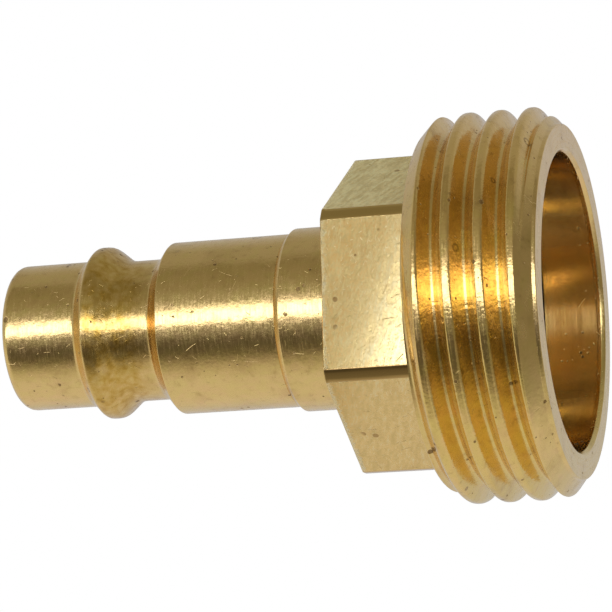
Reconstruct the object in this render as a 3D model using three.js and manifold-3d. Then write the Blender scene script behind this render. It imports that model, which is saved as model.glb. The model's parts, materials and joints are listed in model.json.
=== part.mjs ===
// Inline water pressure regulator for the mains-water inlet of a caravan.
//
// The outside is two brass turnings. The inlet plug snaps into a hose quick-coupler, and screws into
// the body, which has a collar, a spanner hexagon and a male garden-hose thread at the outlet.
// Inside is a direct-acting piston reducer. The spring holds the piston open. Outlet pressure pushes
// on the piston head, and carries the rubber seat disc towards the nozzle until the flow is throttled.
//
// Units are millimetres. Every piece lies on the X axis, from the inlet at -X to the outlet at +X, with
// two flats of the hexagon level. Angles round the axis run from +Z towards -Y, which is a
// right-handed turn about +X.
import * as THREE from "three";
import { mergeVertices } from "three/addons/utils/BufferGeometryUtils.js";
import Module from "manifold-3d";

const wasm = await Module();
wasm.setup();

// Overall
const LENGTH = 40;
const INLET_X = -LENGTH / 2;
const OUTLET_X = LENGTH / 2;
const LARGE_SEGMENTS = 36; // facets round the body and the piston
const SMALL_SEGMENTS = 20; // facets round the small bores and rings
const FIT_GAP = 0.05; // left between neighbouring pieces
const CUT = 1; // how far a cutting tool runs past the face that it opens

// Hose thread barrel: the thread is 3/4 inch garden hose, 11.5 turns to the inch
const BARREL_LENGTH = 9.05;
const BARREL_X = OUTLET_X - BARREL_LENGTH;
const HOSE_THREAD = { crestRadius: 13.45, depth: 1.05, pitch: 2.209, crest: 0.6, root: 0.42 };
const HOSE_GROOVE_X = BARREL_X - 2.65; // where the groove's centre first crosses the top
const HOSE_GROOVE_TURNS = 6.1;
const FLANGE_CHAMFER = 1.05;
const MOUTH_CHAMFER = { length: 1.25, drop: 1.55 };
const MOUTH_BORE = { radius: 10.25, startX: 14.15, chamfer: 0.25 };

// Spanner hexagon, turned down a little so that its corners are narrow bands
const HEX_LENGTH = 6.15;
const HEX_X = BARREL_X - HEX_LENGTH;
const HEX_ACROSS_FLATS = 19.4;
const HEX_CORNER_RADIUS = 10.97;

// Collar on the body, which the plug screws into
const COLLAR_RADIUS = 6.4;
const COLLAR_LENGTH = 4.45;
const COLLAR_X = HEX_X - COLLAR_LENGTH;
const COLLAR_CHAMFER = 0.35;

// Screwed joint between the plug and the body, M10 x 1
const JOINT_THREAD = { crestRadius: 4.95, depth: 0.5, pitch: 1, crest: 0.16, root: 0.16 };
const JOINT_CLEARANCE = 0.07;
const JOINT_O_RING_ROOM = 1.15;
const JOINT_O_RING_RADIUS = 5.2;
const SPIGOT_LENGTH = 4.85;
const SPIGOT_X = COLLAR_X + SPIGOT_LENGTH;

// Plug profile that the quick-coupler locks on
const SHANK = { radius: 6.05, length: 9.44, chamferLength: 0.87 };
const NECK = { radius: 4.96, length: 2.66 };
const BEAD = { radius: 6.08, rearFlank: 0.98, crest: 0.99, frontFlank: 0.83 };
const TIP = { radius: 5.15, round: 0.7 };
const SHANK_X = COLLAR_X - SHANK.length;
const BEAD_X = SHANK_X - NECK.length;
const TIP_X = BEAD_X - BEAD.rearFlank - BEAD.crest - BEAD.frontFlank;

// Waterway through the plug
const STRAINER_POCKET = { radius: 3.5, endX: -18.45 };
const INLET_BORE = { radius: 3.1, endX: -13.4 };
const THROAT_RADIUS = 1.6;
const NOZZLE_POCKET = { radius: 2.6, startX: -12.65, endX: -9.6 };
const SEAT_CHAMBER_RADIUS = 3;
const GLAND = { radius: 3.45, startX: -3.3 };

// Piston and its stroke
const STEM_RADIUS = 2.5;
const NOSE = { radius: 2.2, startX: -8.6, endX: -4.6 };
const DISC_POCKET = { radius: 1.75, depth: 1.1 };
const PISTON_BORE_RADIUS = 1.35;
const CROSS_HOLE = { radius: 0.7, x: -6.1 };
const HEAD = { radius: 8.1, startX: 10.6, endX: 14.15 };
const HEAD_GROOVE = { radius: 7, startX: 11.3, endX: 13.45 };
const BACKUP_RING_THICKNESS = 0.45;
const SPRING_RECESS = { innerRadius: 3.3, outerRadius: 6, floorX: 12.9 };
const OUTFLOW_CONE = { radius: 3.2, length: 1.1 };
const DISC_PROUD = 0.05;
const STROKE = 1;

// Cylinder for the spring and the piston head, and what stands on its floor
const CYLINDER = { radius: 8.2, startX: 5.9 };
const SPRING = { coilRadius: 5.1, wireRadius: 0.65, turns: 3, endTurns: 0.8, ground: 0.3 };
const WASHER = { innerRadius: 2.9, outerRadius: 6.6, thickness: 0.4 };
const SHIM_THICKNESS = 0.3;
const WASHER_X = CYLINDER.startX + FIT_GAP;
const SHIM_X = WASHER_X + WASHER.thickness + FIT_GAP / 2;
const SPRING_X = SHIM_X + SHIM_THICKNESS + FIT_GAP;

// Washer that stops the piston at the outlet end, and the ring that holds it
const STOP_WASHER = { innerRadius: 6.2, outerRadius: 10.15, thickness: 0.6 };
const STOP_WASHER_X = MOUTH_BORE.startX + FIT_GAP;
const RING_GROOVE = { radius: 10.85, startX: 14.83, endX: 15.7 };
const RING = { outerRadius: 10.75, width: 1.5, thickness: 0.74, gapAngle: 0.2, lugRadius: 1.25, lugHole: 0.55 };

// Vent from the spring chamber to the air, in the lower flat at the back
const VENT = { x: 8, angle: Math.PI / 3, radius: 0.6, pocketRadius: 1.5, pocketDepth: 0.85, filterThickness: 0.7 };

// Inlet strainer
const STRAINER = { flangeRadius: 3.4, boreRadius: 2.45, startX: -19, flangeThickness: 0.5, skirtLength: 1.1 };
const SCREEN = { rimRadius: 2.4, tipRadius: 1.5, wall: 0.28, length: 4.2, rows: 3, holesPerRow: 6, holeRadius: 0.36 };
const SNAP_GROOVE = { radius: 3.82, startX: -19.6, endX: -19.05 };
const SNAP_RING = { innerRadius: 3.1, outerRadius: 3.76, thickness: 0.45, gapAngle: 0.45 };

const brass = new THREE.MeshStandardMaterial({ color: 0xb8933f, metalness: 1, roughness: 0.28 });
const pistonBrass = new THREE.MeshStandardMaterial({ color: 0xc2a05a, metalness: 1, roughness: 0.22 });
const stainless = new THREE.MeshStandardMaterial({ color: 0xb9bcc0, metalness: 1, roughness: 0.3 });
const springSteel = new THREE.MeshStandardMaterial({ color: 0x8d8f93, metalness: 1, roughness: 0.35 });
const sinteredBronze = new THREE.MeshStandardMaterial({ color: 0x94703f, metalness: 1, roughness: 0.75 });
const rubber = new THREE.MeshStandardMaterial({ color: 0x17181a, metalness: 0, roughness: 0.7 });
const acetal = new THREE.MeshStandardMaterial({ color: 0xe6e4dc, metalness: 0, roughness: 0.45 });
const ptfe = new THREE.MeshStandardMaterial({ color: 0xf2f2ef, metalness: 0, roughness: 0.6 });

const regulator = new THREE.Group();

function addPiece(name, geometry, material) {
  const mesh = new THREE.Mesh(geometry, material);
  mesh.name = name;
  regulator.add(mesh);
}

// ---- solids ----

function solid(geometry) {
  const plain = new THREE.BufferGeometry();
  plain.setAttribute("position", geometry.getAttribute("position"));
  plain.setIndex(geometry.getIndex());
  const merged = mergeVertices(plain, 1e-4);
  return new wasm.Manifold(
    new wasm.Mesh({
      numProp: 3,
      vertProperties: new Float32Array(merged.attributes.position.array),
      triVerts: new Uint32Array(merged.index.array),
    }),
  );
}

function geometryOf(manifold) {
  const mesh = manifold.getMesh();
  const geometry = new THREE.BufferGeometry();
  geometry.setAttribute("position", new THREE.BufferAttribute(mesh.vertProperties, 3));
  geometry.setIndex(new THREE.BufferAttribute(mesh.triVerts, 1));
  geometry.computeVertexNormals();
  return geometry;
}

// Turns a profile of [x, radius] points about the X axis. The points run along the outside from -X to
// +X and back along the bore, or end on the axis. A ring's profile comes back to its first point.
function turned(points, segments) {
  const profile = points.map(([x, radius]) => new THREE.Vector2(radius, x));
  return new THREE.LatheGeometry(profile, segments).rotateZ(-Math.PI / 2);
}

function turnedRing(points, segments) {
  return turned([...points, points[0]], segments);
}

function washer(startX, thickness, innerRadius, outerRadius, segments) {
  const endX = startX + thickness;
  return turnedRing(
    [
      [startX, innerRadius],
      [startX, outerRadius],
      [endX, outerRadius],
      [endX, innerRadius],
    ],
    segments,
  );
}

// A ring of oval section, as an O-ring is once it is squeezed into its groove.
function oRing(centreX, centreRadius, halfWidth, halfHeight, segments) {
  const sides = 8;
  const points = [];
  for (let side = 0; side < sides; side += 1) {
    const turn = (2 * Math.PI * side) / sides;
    points.push([centreX - halfWidth * Math.cos(turn), centreRadius + halfHeight * Math.sin(turn)]);
  }
  return turnedRing(points, segments);
}

function rod(startX, endX, radius, segments) {
  return turned(
    [
      [startX, 0],
      [startX, radius],
      [endX, radius],
      [endX, 0],
    ],
    segments,
  );
}

// The tool that cuts one helical groove. Its section is a trapezoid between innerRadius and
// outerRadius, with the two widths given there, and the groove's centre is at startX at the top.
function helicalTool({ startX, turns, pitch, innerRadius, outerRadius, innerWidth, outerWidth, segments }) {
  const steps = Math.round(turns * segments);
  const positions = [];
  const index = [];
  for (let step = 0; step <= steps; step += 1) {
    const angle = (2 * Math.PI * step) / segments;
    const centre = startX + (pitch * step) / segments;
    const corners = [
      [centre - innerWidth / 2, innerRadius],
      [centre - outerWidth / 2, outerRadius],
      [centre + outerWidth / 2, outerRadius],
      [centre + innerWidth / 2, innerRadius],
    ];
    for (const [x, radius] of corners) {
      positions.push(x, -radius * Math.sin(angle), radius * Math.cos(angle));
    }
    if (step === steps) break;
    for (let corner = 0; corner < 4; corner += 1) {
      const here = 4 * step + corner;
      const next = 4 * step + ((corner + 1) % 4);
      index.push(here, next + 4, next, here, here + 4, next + 4);
    }
  }
  const last = 4 * steps;
  index.push(0, 1, 2, 0, 2, 3, last, last + 2, last + 1, last, last + 3, last + 2);
  const geometry = new THREE.BufferGeometry();
  geometry.setAttribute("position", new THREE.Float32BufferAttribute(positions, 3));
  geometry.setIndex(index);
  return geometry;
}

// How much a thread's flank leans along the axis for each unit of depth.
function flankSlope({ pitch, crest, root, depth }) {
  return (pitch - crest - root) / (2 * depth);
}

// Cuts a male thread. It runs a little past the crests, so that they are cut clean.
function dieTool(thread, startX, turns, segments) {
  const overrun = 0.2 * thread.depth;
  return helicalTool({
    startX,
    turns,
    pitch: thread.pitch,
    innerRadius: thread.crestRadius - thread.depth,
    outerRadius: thread.crestRadius + overrun,
    innerWidth: thread.root,
    outerWidth: thread.pitch - thread.crest + 2 * overrun * flankSlope(thread),
    segments,
  });
}

// Cuts the female thread that takes it, with the joint's clearance at the crests and on the flanks.
function tapTool(thread, startX, turns, segments) {
  return helicalTool({
    startX,
    turns,
    pitch: thread.pitch,
    innerRadius: thread.crestRadius - thread.depth,
    outerRadius: thread.crestRadius + JOINT_CLEARANCE,
    innerWidth: thread.pitch - thread.root + 2 * JOINT_CLEARANCE,
    outerWidth: thread.crest + 2 * JOINT_CLEARANCE * (1 - flankSlope(thread)),
    segments,
  });
}

// A flat open ring, such as a circlip's, with its gap at the bottom.
function openRingShape(innerRadius, outerRadius, gapAngle) {
  const start = -Math.PI / 2 + gapAngle;
  const end = (3 * Math.PI) / 2 - gapAngle;
  const shape = new THREE.Shape();
  shape.absarc(0, 0, outerRadius, start, end, false);
  shape.absarc(0, 0, innerRadius, end, start, true);
  return shape;
}

// Stands a shape drawn in a plane on the X axis, with the drawing's up along +Z.
function plateOnAxis(shape, startX, thickness, curveSegments) {
  return new THREE.ExtrudeGeometry(shape, { depth: thickness, bevelEnabled: false, curveSegments })
    .rotateX(Math.PI / 2)
    .rotateZ(Math.PI / 2)
    .translate(startX, 0, 0);
}

// ---- body ----

function hexagonBar() {
  const cornerAngle = Math.acos(HEX_ACROSS_FLATS / 2 / HEX_CORNER_RADIUS);
  const shape = new THREE.Shape();
  for (let flat = 0; flat < 6; flat += 1) {
    for (const side of [-1, 1]) {
      const angle = Math.PI / 2 + (flat * Math.PI) / 3 + side * cornerAngle;
      const x = HEX_CORNER_RADIUS * Math.cos(angle);
      const y = HEX_CORNER_RADIUS * Math.sin(angle);
      if (flat === 0 && side === -1) shape.moveTo(x, y);
      else shape.lineTo(x, y);
    }
  }
  return plateOnAxis(shape, HEX_X, HEX_LENGTH + CUT);
}

function bodyTurning() {
  const crest = HOSE_THREAD.crestRadius;
  return turned(
    [
      [COLLAR_X, 0],
      [COLLAR_X, COLLAR_RADIUS - COLLAR_CHAMFER],
      [COLLAR_X + COLLAR_CHAMFER, COLLAR_RADIUS],
      [HEX_X + CUT, COLLAR_RADIUS],
      [BARREL_X, COLLAR_RADIUS],
      [BARREL_X, crest - FLANGE_CHAMFER],
      [BARREL_X + FLANGE_CHAMFER, crest],
      [OUTLET_X - MOUTH_CHAMFER.length, crest],
      [OUTLET_X, crest - MOUTH_CHAMFER.drop],
      [OUTLET_X, 0],
    ],
    LARGE_SEGMENTS,
  );
}

function bodyBore() {
  const large = turned(
    [
      [CYLINDER.startX, 0],
      [CYLINDER.startX, CYLINDER.radius],
      [MOUTH_BORE.startX, CYLINDER.radius],
      [MOUTH_BORE.startX, MOUTH_BORE.radius],
      [RING_GROOVE.startX, MOUTH_BORE.radius],
      [RING_GROOVE.startX, RING_GROOVE.radius],
      [RING_GROOVE.endX, RING_GROOVE.radius],
      [RING_GROOVE.endX, MOUTH_BORE.radius],
      [OUTLET_X - MOUTH_BORE.chamfer, MOUTH_BORE.radius],
      [OUTLET_X, MOUTH_BORE.radius + MOUTH_BORE.chamfer],
      [OUTLET_X + CUT, MOUTH_BORE.radius + MOUTH_BORE.chamfer],
      [OUTLET_X + CUT, 0],
    ],
    LARGE_SEGMENTS,
  );
  const tappingRadius = JOINT_THREAD.crestRadius - JOINT_THREAD.depth + JOINT_CLEARANCE;
  const small = turned(
    [
      [COLLAR_X - CUT, 0],
      [COLLAR_X - CUT, JOINT_O_RING_RADIUS],
      [COLLAR_X + JOINT_O_RING_ROOM, JOINT_O_RING_RADIUS],
      [COLLAR_X + JOINT_O_RING_ROOM, tappingRadius],
      [CYLINDER.startX + CUT, tappingRadius],
      [CYLINDER.startX + CUT, 0],
    ],
    SMALL_SEGMENTS,
  );
  return solid(large).add(solid(small));
}

// A disc or drill in line with the vent, between two depths below the flat that the vent opens in.
function ventPlug(radius, fromDepth, toDepth) {
  const flatZ = -HEX_ACROSS_FLATS / 2;
  return new THREE.CylinderGeometry(radius, radius, toDepth - fromDepth, SMALL_SEGMENTS)
    .rotateX(Math.PI / 2)
    .translate(VENT.x, 0, flatZ + (fromDepth + toDepth) / 2)
    .rotateX(VENT.angle);
}

function vent() {
  const hole = ventPlug(VENT.radius, -CUT, HEX_ACROSS_FLATS / 2);
  const pocket = ventPlug(VENT.pocketRadius, -CUT, VENT.pocketDepth);
  return solid(hole).add(solid(pocket));
}

const JOINT_GROOVE_X = COLLAR_X + JOINT_O_RING_ROOM - JOINT_THREAD.pitch;
const JOINT_TURNS = (SPIGOT_X + CUT - JOINT_GROOVE_X) / JOINT_THREAD.pitch + 0.5;

function regulatorBody() {
  const hoseGroove = dieTool(HOSE_THREAD, HOSE_GROOVE_X, HOSE_GROOVE_TURNS, LARGE_SEGMENTS);
  const tapStartX = JOINT_GROOVE_X + JOINT_THREAD.pitch / 2;
  const tap = tapTool(JOINT_THREAD, tapStartX, JOINT_TURNS, SMALL_SEGMENTS);
  const tappedLength = rod(COLLAR_X, CYLINDER.startX + CUT, COLLAR_RADIUS, SMALL_SEGMENTS);
  return geometryOf(
    solid(bodyTurning())
      .add(solid(hexagonBar()))
      .subtract(bodyBore())
      .subtract(solid(hoseGroove))
      .subtract(solid(tap).intersect(solid(tappedLength)))
      .subtract(vent()),
  );
}

// ---- inlet plug ----

function plugTurning() {
  const crest = JOINT_THREAD.crestRadius;
  const rootRadius = crest - JOINT_THREAD.depth;
  const beadCrestX = TIP_X + BEAD.frontFlank;
  return turned(
    [
      [INLET_X, 0],
      [INLET_X, TIP.radius - TIP.round],
      [INLET_X + 0.3 * TIP.round, TIP.radius - 0.3 * TIP.round],
      [INLET_X + TIP.round, TIP.radius],
      [TIP_X, TIP.radius],
      [beadCrestX, BEAD.radius],
      [beadCrestX + BEAD.crest, BEAD.radius],
      [BEAD_X, NECK.radius],
      [SHANK_X, NECK.radius],
      [SHANK_X + SHANK.chamferLength, SHANK.radius],
      [COLLAR_X - FIT_GAP, SHANK.radius],
      [COLLAR_X - FIT_GAP, rootRadius - JOINT_CLEARANCE],
      [COLLAR_X + JOINT_O_RING_ROOM, rootRadius - JOINT_CLEARANCE],
      [COLLAR_X + JOINT_O_RING_ROOM, crest - 0.4],
      [COLLAR_X + JOINT_O_RING_ROOM + 0.4, crest],
      [SPIGOT_X - 0.4, crest],
      [SPIGOT_X, crest - 0.4],
      [SPIGOT_X, 0],
    ],
    LARGE_SEGMENTS,
  );
}

function plugWaterway() {
  return turned(
    [
      [INLET_X - CUT, 0],
      [INLET_X - CUT, STRAINER_POCKET.radius + 0.3],
      [INLET_X, STRAINER_POCKET.radius + 0.3],
      [INLET_X + 0.3, STRAINER_POCKET.radius],
      [SNAP_GROOVE.startX, STRAINER_POCKET.radius],
      [SNAP_GROOVE.startX, SNAP_GROOVE.radius],
      [SNAP_GROOVE.endX, SNAP_GROOVE.radius],
      [SNAP_GROOVE.endX, STRAINER_POCKET.radius],
      [STRAINER_POCKET.endX, STRAINER_POCKET.radius],
      [STRAINER_POCKET.endX, INLET_BORE.radius],
      [INLET_BORE.endX, INLET_BORE.radius],
      [INLET_BORE.endX, THROAT_RADIUS],
      [NOZZLE_POCKET.startX, THROAT_RADIUS],
      [NOZZLE_POCKET.startX, NOZZLE_POCKET.radius],
      [NOZZLE_POCKET.endX, NOZZLE_POCKET.radius],
      [NOZZLE_POCKET.endX, SEAT_CHAMBER_RADIUS],
      [GLAND.startX, SEAT_CHAMBER_RADIUS],
      [GLAND.startX, GLAND.radius],
      [SPIGOT_X + CUT, GLAND.radius],
      [SPIGOT_X + CUT, 0],
    ],
    SMALL_SEGMENTS,
  );
}

function inletPlug() {
  const die = dieTool(JOINT_THREAD, JOINT_GROOVE_X, JOINT_TURNS, SMALL_SEGMENTS);
  const threadedLength = rod(COLLAR_X, SPIGOT_X + CUT, COLLAR_RADIUS, SMALL_SEGMENTS);
  return geometryOf(
    solid(plugTurning())
      .subtract(solid(plugWaterway()))
      .subtract(solid(die).intersect(solid(threadedLength))),
  );
}

// ---- nozzle and gland ----

function nozzleSeat() {
  const startX = NOZZLE_POCKET.startX + FIT_GAP;
  const radius = NOZZLE_POCKET.radius - FIT_GAP;
  const lipX = NOSE.startX - DISC_PROUD - STROKE - 0.02;
  return turnedRing(
    [
      [startX, 1.15],
      [startX, radius],
      [-11.95, radius],
      [-11.95, 1.95],
      [-11.05, 1.95],
      [-11.05, radius],
      [-10.35, radius],
      [-10.35, 1.9],
      [lipX, 1.45],
      [lipX, 1.15],
    ],
    SMALL_SEGMENTS,
  );
}

function guideBush() {
  const startX = -1.6;
  const bodyRadius = GLAND.radius - FIT_GAP;
  const flangeRadius = 4.2;
  return turnedRing(
    [
      [startX, STEM_RADIUS + 0.07],
      [startX, bodyRadius],
      [SPIGOT_X + FIT_GAP, bodyRadius],
      [SPIGOT_X + FIT_GAP, flangeRadius],
      [WASHER_X - FIT_GAP / 2, flangeRadius],
      [WASHER_X - FIT_GAP / 2, STEM_RADIUS + 0.07],
    ],
    SMALL_SEGMENTS,
  );
}

// ---- piston ----

function piston() {
  const pocketFloorX = NOSE.startX + DISC_POCKET.depth;
  const boreEndX = pocketFloorX + 0.6;
  const turning = turned(
    [
      [pocketFloorX, 0],
      [pocketFloorX, DISC_POCKET.radius],
      [NOSE.startX, DISC_POCKET.radius],
      [NOSE.startX, NOSE.radius - 0.15],
      [NOSE.startX + 0.15, NOSE.radius],
      [NOSE.endX, NOSE.radius],
      [NOSE.endX + 0.3, STEM_RADIUS],
      [SPRING_RECESS.floorX - 1.6, STEM_RADIUS],
      [SPRING_RECESS.floorX, SPRING_RECESS.innerRadius],
      [SPRING_RECESS.floorX, SPRING_RECESS.outerRadius],
      [HEAD.startX, SPRING_RECESS.outerRadius],
      [HEAD.startX, HEAD.radius - 0.2],
      [HEAD.startX + 0.2, HEAD.radius],
      [HEAD_GROOVE.startX, HEAD.radius],
      [HEAD_GROOVE.startX, HEAD_GROOVE.radius],
      [HEAD_GROOVE.endX, HEAD_GROOVE.radius],
      [HEAD_GROOVE.endX, HEAD.radius],
      [HEAD.endX - 0.2, HEAD.radius],
      [HEAD.endX, HEAD.radius - 0.2],
      [HEAD.endX, OUTFLOW_CONE.radius],
      [HEAD.endX - OUTFLOW_CONE.length, PISTON_BORE_RADIUS],
      [boreEndX, PISTON_BORE_RADIUS],
      [boreEndX, 0],
    ],
    LARGE_SEGMENTS,
  );
  const drill = () => new THREE.CylinderGeometry(CROSS_HOLE.radius, CROSS_HOLE.radius, 3 * NOSE.radius, 12);
  const levelHole = solid(drill().translate(CROSS_HOLE.x, 0, 0));
  const uprightHole = solid(drill().rotateX(Math.PI / 2).translate(CROSS_HOLE.x, 0, 0));
  return geometryOf(solid(turning).subtract(levelHole).subtract(uprightHole));
}

function seatDisc() {
  const floorX = NOSE.startX + DISC_POCKET.depth - FIT_GAP / 2;
  return rod(NOSE.startX - DISC_PROUD, floorX, DISC_POCKET.radius - FIT_GAP, SMALL_SEGMENTS);
}

// ---- spring ----

// The wire's centre line. The end turns lie close, and the turns between are evenly spread.
class SpringLine extends THREE.Curve {
  constructor(startX, endX) {
    super();
    this.startX = startX;
    this.endX = endX;
  }

  getPoint(t, target = new THREE.Vector3()) {
    const { coilRadius, wireRadius, turns, endTurns } = SPRING;
    const turn = t * turns;
    const closedRise = 2.06 * wireRadius;
    const openTurns = turns - 2 * endTurns;
    const openRise = (this.endX - this.startX - 2 * endTurns * closedRise) / openTurns;
    const early = Math.min(turn, endTurns);
    const late = Math.max(turn - turns + endTurns, 0);
    const open = turn - early - late;
    const angle = 2 * Math.PI * turn;
    const x = this.startX + closedRise * (early + late) + openRise * open;
    return target.set(x, -coilRadius * Math.sin(angle), coilRadius * Math.cos(angle));
  }
}

function mainSpring() {
  const endX = SPRING_RECESS.floorX - FIT_GAP;
  const inset = SPRING.wireRadius - SPRING.ground;
  const section = new THREE.Shape();
  section.absarc(0, 0, SPRING.wireRadius, 0, 2 * Math.PI, false);
  const wire = new THREE.ExtrudeGeometry(section, {
    extrudePath: new SpringLine(SPRING_X + inset, endX - inset),
    steps: Math.round(SPRING.turns * SMALL_SEGMENTS),
    curveSegments: 4,
    bevelEnabled: false,
  });
  const betweenGroundEnds = rod(SPRING_X, endX, CYLINDER.radius, SMALL_SEGMENTS);
  return geometryOf(solid(wire).intersect(solid(betweenGroundEnds)));
}

// ---- rings and strainer ----

function retainingRing() {
  const shape = openRingShape(RING.outerRadius - RING.width, RING.outerRadius, RING.gapAngle);
  const startX = RING_GROOVE.startX + FIT_GAP;
  let ring = solid(plateOnAxis(shape, startX, RING.thickness, LARGE_SEGMENTS / 2));
  const lugCentre = RING.outerRadius - RING.width - 0.35;
  for (const side of [-1, 1]) {
    const angle = side * (RING.gapAngle + 0.02);
    const y = lugCentre * Math.sin(angle);
    const z = -lugCentre * Math.cos(angle);
    const endX = startX + RING.thickness;
    const lug = rod(startX, endX, RING.lugRadius, 16).translate(0, y, z);
    const hole = rod(startX - CUT, endX + CUT, RING.lugHole, 12).translate(0, y, z);
    ring = ring.add(solid(lug)).subtract(solid(hole));
  }
  return geometryOf(ring);
}

function snapRing() {
  const shape = openRingShape(SNAP_RING.innerRadius, SNAP_RING.outerRadius, SNAP_RING.gapAngle);
  return plateOnAxis(shape, SNAP_GROOVE.startX + FIT_GAP, SNAP_RING.thickness, SMALL_SEGMENTS / 2);
}

function strainerFrame() {
  const { startX, flangeThickness, skirtLength, flangeRadius, boreRadius } = STRAINER;
  const skirtRadius = flangeRadius - 0.45;
  return turnedRing(
    [
      [startX, boreRadius],
      [startX, flangeRadius],
      [startX + flangeThickness, flangeRadius],
      [startX + flangeThickness, skirtRadius],
      [startX + flangeThickness + skirtLength, skirtRadius],
      [startX + flangeThickness + skirtLength, boreRadius],
    ],
    SMALL_SEGMENTS,
  );
}

function strainerScreen() {
  const { rimRadius, tipRadius, wall, length, rows, holesPerRow, holeRadius } = SCREEN;
  const startX = STRAINER.startX + 0.15;
  const endX = startX + length;
  const shell = solid(
    turned(
      [
        [endX - wall, 0],
        [endX - wall, tipRadius - wall],
        [startX, rimRadius - wall],
        [startX, rimRadius],
        [endX, tipRadius],
        [endX, 0],
      ],
      SMALL_SEGMENTS,
    ),
  );
  let screen = shell;
  for (let row = 0; row < rows; row += 1) {
    const x = startX + 1.95 + (row * (length - 2.8)) / (rows - 1);
    for (let hole = 0; hole < holesPerRow / 2; hole += 1) {
      const angle = ((hole + (row % 2) / 2) * 2 * Math.PI) / holesPerRow;
      const drill = new THREE.CylinderGeometry(holeRadius, holeRadius, 4 * rimRadius, 6);
      screen = screen.subtract(solid(drill.rotateX(angle).translate(x, 0, 0)));
    }
  }
  return geometryOf(screen);
}

function ventFilter() {
  const innerDepth = VENT.pocketDepth - FIT_GAP;
  return ventPlug(VENT.pocketRadius - FIT_GAP, innerDepth - VENT.filterThickness, innerDepth);
}

function pistonBackupRing() {
  const startX = HEAD_GROOVE.startX + FIT_GAP;
  return washer(startX, BACKUP_RING_THICKNESS, HEAD_GROOVE.radius + FIT_GAP, HEAD.radius, LARGE_SEGMENTS);
}

function pistonORing() {
  const startX = HEAD_GROOVE.startX + BACKUP_RING_THICKNESS + 2 * FIT_GAP;
  const centreX = (startX + HEAD_GROOVE.endX) / 2;
  const halfWidth = (HEAD_GROOVE.endX - startX) / 2 - 0.1;
  const centreRadius = (HEAD_GROOVE.radius + CYLINDER.radius) / 2;
  const halfHeight = (CYLINDER.radius - HEAD_GROOVE.radius) / 2 - FIT_GAP;
  return oRing(centreX, centreRadius, halfWidth, halfHeight, LARGE_SEGMENTS);
}

function stopWasher() {
  const { innerRadius, outerRadius, thickness } = STOP_WASHER;
  return washer(STOP_WASHER_X, thickness, innerRadius, outerRadius, LARGE_SEGMENTS);
}

// ---- assembly, from the inlet to the outlet ----

addPiece("strainer_snap_ring", snapRing(), springSteel);
addPiece("strainer_frame", strainerFrame(), brass);
addPiece("strainer_screen", strainerScreen(), stainless);
addPiece("inlet_plug", inletPlug(), brass);
addPiece("nozzle_o_ring", oRing(-11.5, 2.26, 0.36, 0.29, SMALL_SEGMENTS), rubber);
addPiece("nozzle_seat", nozzleSeat(), stainless);
addPiece("seat_disc", seatDisc(), rubber);
addPiece("stem_seal", oRing(-2.72, 2.98, 0.5, 0.4, SMALL_SEGMENTS), rubber);
addPiece("seal_backup_washer", washer(-2.15, 0.5, STEM_RADIUS + 0.07, GLAND.radius - FIT_GAP, SMALL_SEGMENTS), ptfe);
addPiece("guide_bush", guideBush(), acetal);
addPiece("plug_o_ring", oRing(COLLAR_X + 0.54, 4.77, 0.5, 0.36, SMALL_SEGMENTS), rubber);
addPiece("regulator_body", regulatorBody(), brass);
addPiece("spring_washer", washer(WASHER_X, WASHER.thickness, WASHER.innerRadius, WASHER.outerRadius, SMALL_SEGMENTS), stainless);
addPiece("pressure_shim", washer(SHIM_X, SHIM_THICKNESS, 4.4, WASHER.outerRadius, SMALL_SEGMENTS), stainless);
addPiece("main_spring", mainSpring(), springSteel);
addPiece("piston", piston(), pistonBrass);
addPiece("piston_backup_ring", pistonBackupRing(), ptfe);
addPiece("piston_o_ring", pistonORing(), rubber);
addPiece("stop_washer", stopWasher(), stainless);
addPiece("retaining_ring", retainingRing(), springSteel);
addPiece("vent_filter", ventFilter(), sinteredBronze);

export default regulator;
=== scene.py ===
"""Inline water pressure regulator: fine surfaces, materials, floor, light and camera round the CAD part.

Lengths are millimetres until a mesh is made. Every turned piece lies on the X axis, from the inlet at -X
to the outlet at +X. Angles round the axis run from +Z towards -Y, a right-handed turn about +X.
"""
import json
import math
from collections import namedtuple

import bmesh
import bpy
import numpy as np
from mathutils import Matrix, Vector


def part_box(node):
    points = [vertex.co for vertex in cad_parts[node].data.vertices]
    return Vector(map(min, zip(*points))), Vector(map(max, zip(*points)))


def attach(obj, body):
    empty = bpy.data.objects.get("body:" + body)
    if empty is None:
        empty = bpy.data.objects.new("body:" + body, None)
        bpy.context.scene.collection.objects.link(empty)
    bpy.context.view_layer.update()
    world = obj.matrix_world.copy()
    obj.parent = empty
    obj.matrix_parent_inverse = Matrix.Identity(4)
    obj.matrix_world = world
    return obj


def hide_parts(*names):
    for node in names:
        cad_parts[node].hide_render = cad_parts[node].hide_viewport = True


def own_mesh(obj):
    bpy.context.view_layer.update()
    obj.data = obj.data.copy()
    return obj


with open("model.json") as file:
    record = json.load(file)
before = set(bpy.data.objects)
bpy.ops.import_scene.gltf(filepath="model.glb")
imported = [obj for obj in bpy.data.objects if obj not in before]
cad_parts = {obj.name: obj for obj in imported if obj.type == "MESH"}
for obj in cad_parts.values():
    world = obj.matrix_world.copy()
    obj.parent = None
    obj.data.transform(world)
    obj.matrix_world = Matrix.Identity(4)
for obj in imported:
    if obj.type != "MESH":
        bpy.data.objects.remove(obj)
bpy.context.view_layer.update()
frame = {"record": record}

MM = 0.001
RECORD = frame["record"]
BODY_OF_NODE = {node: body for body, nodes in RECORD["behaviour"]["bodies"].items() for node in nodes}
SLOT_OF_NODE = {part["node"]: part["material_slot"] for part in RECORD["subparts"]}


def extent(node):
    """Where a CAD node starts and ends along the axis, and its largest radius."""
    low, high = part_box(node)
    return low.x / MM, high.x / MM, high.z / MM


# ------------ sizes

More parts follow.
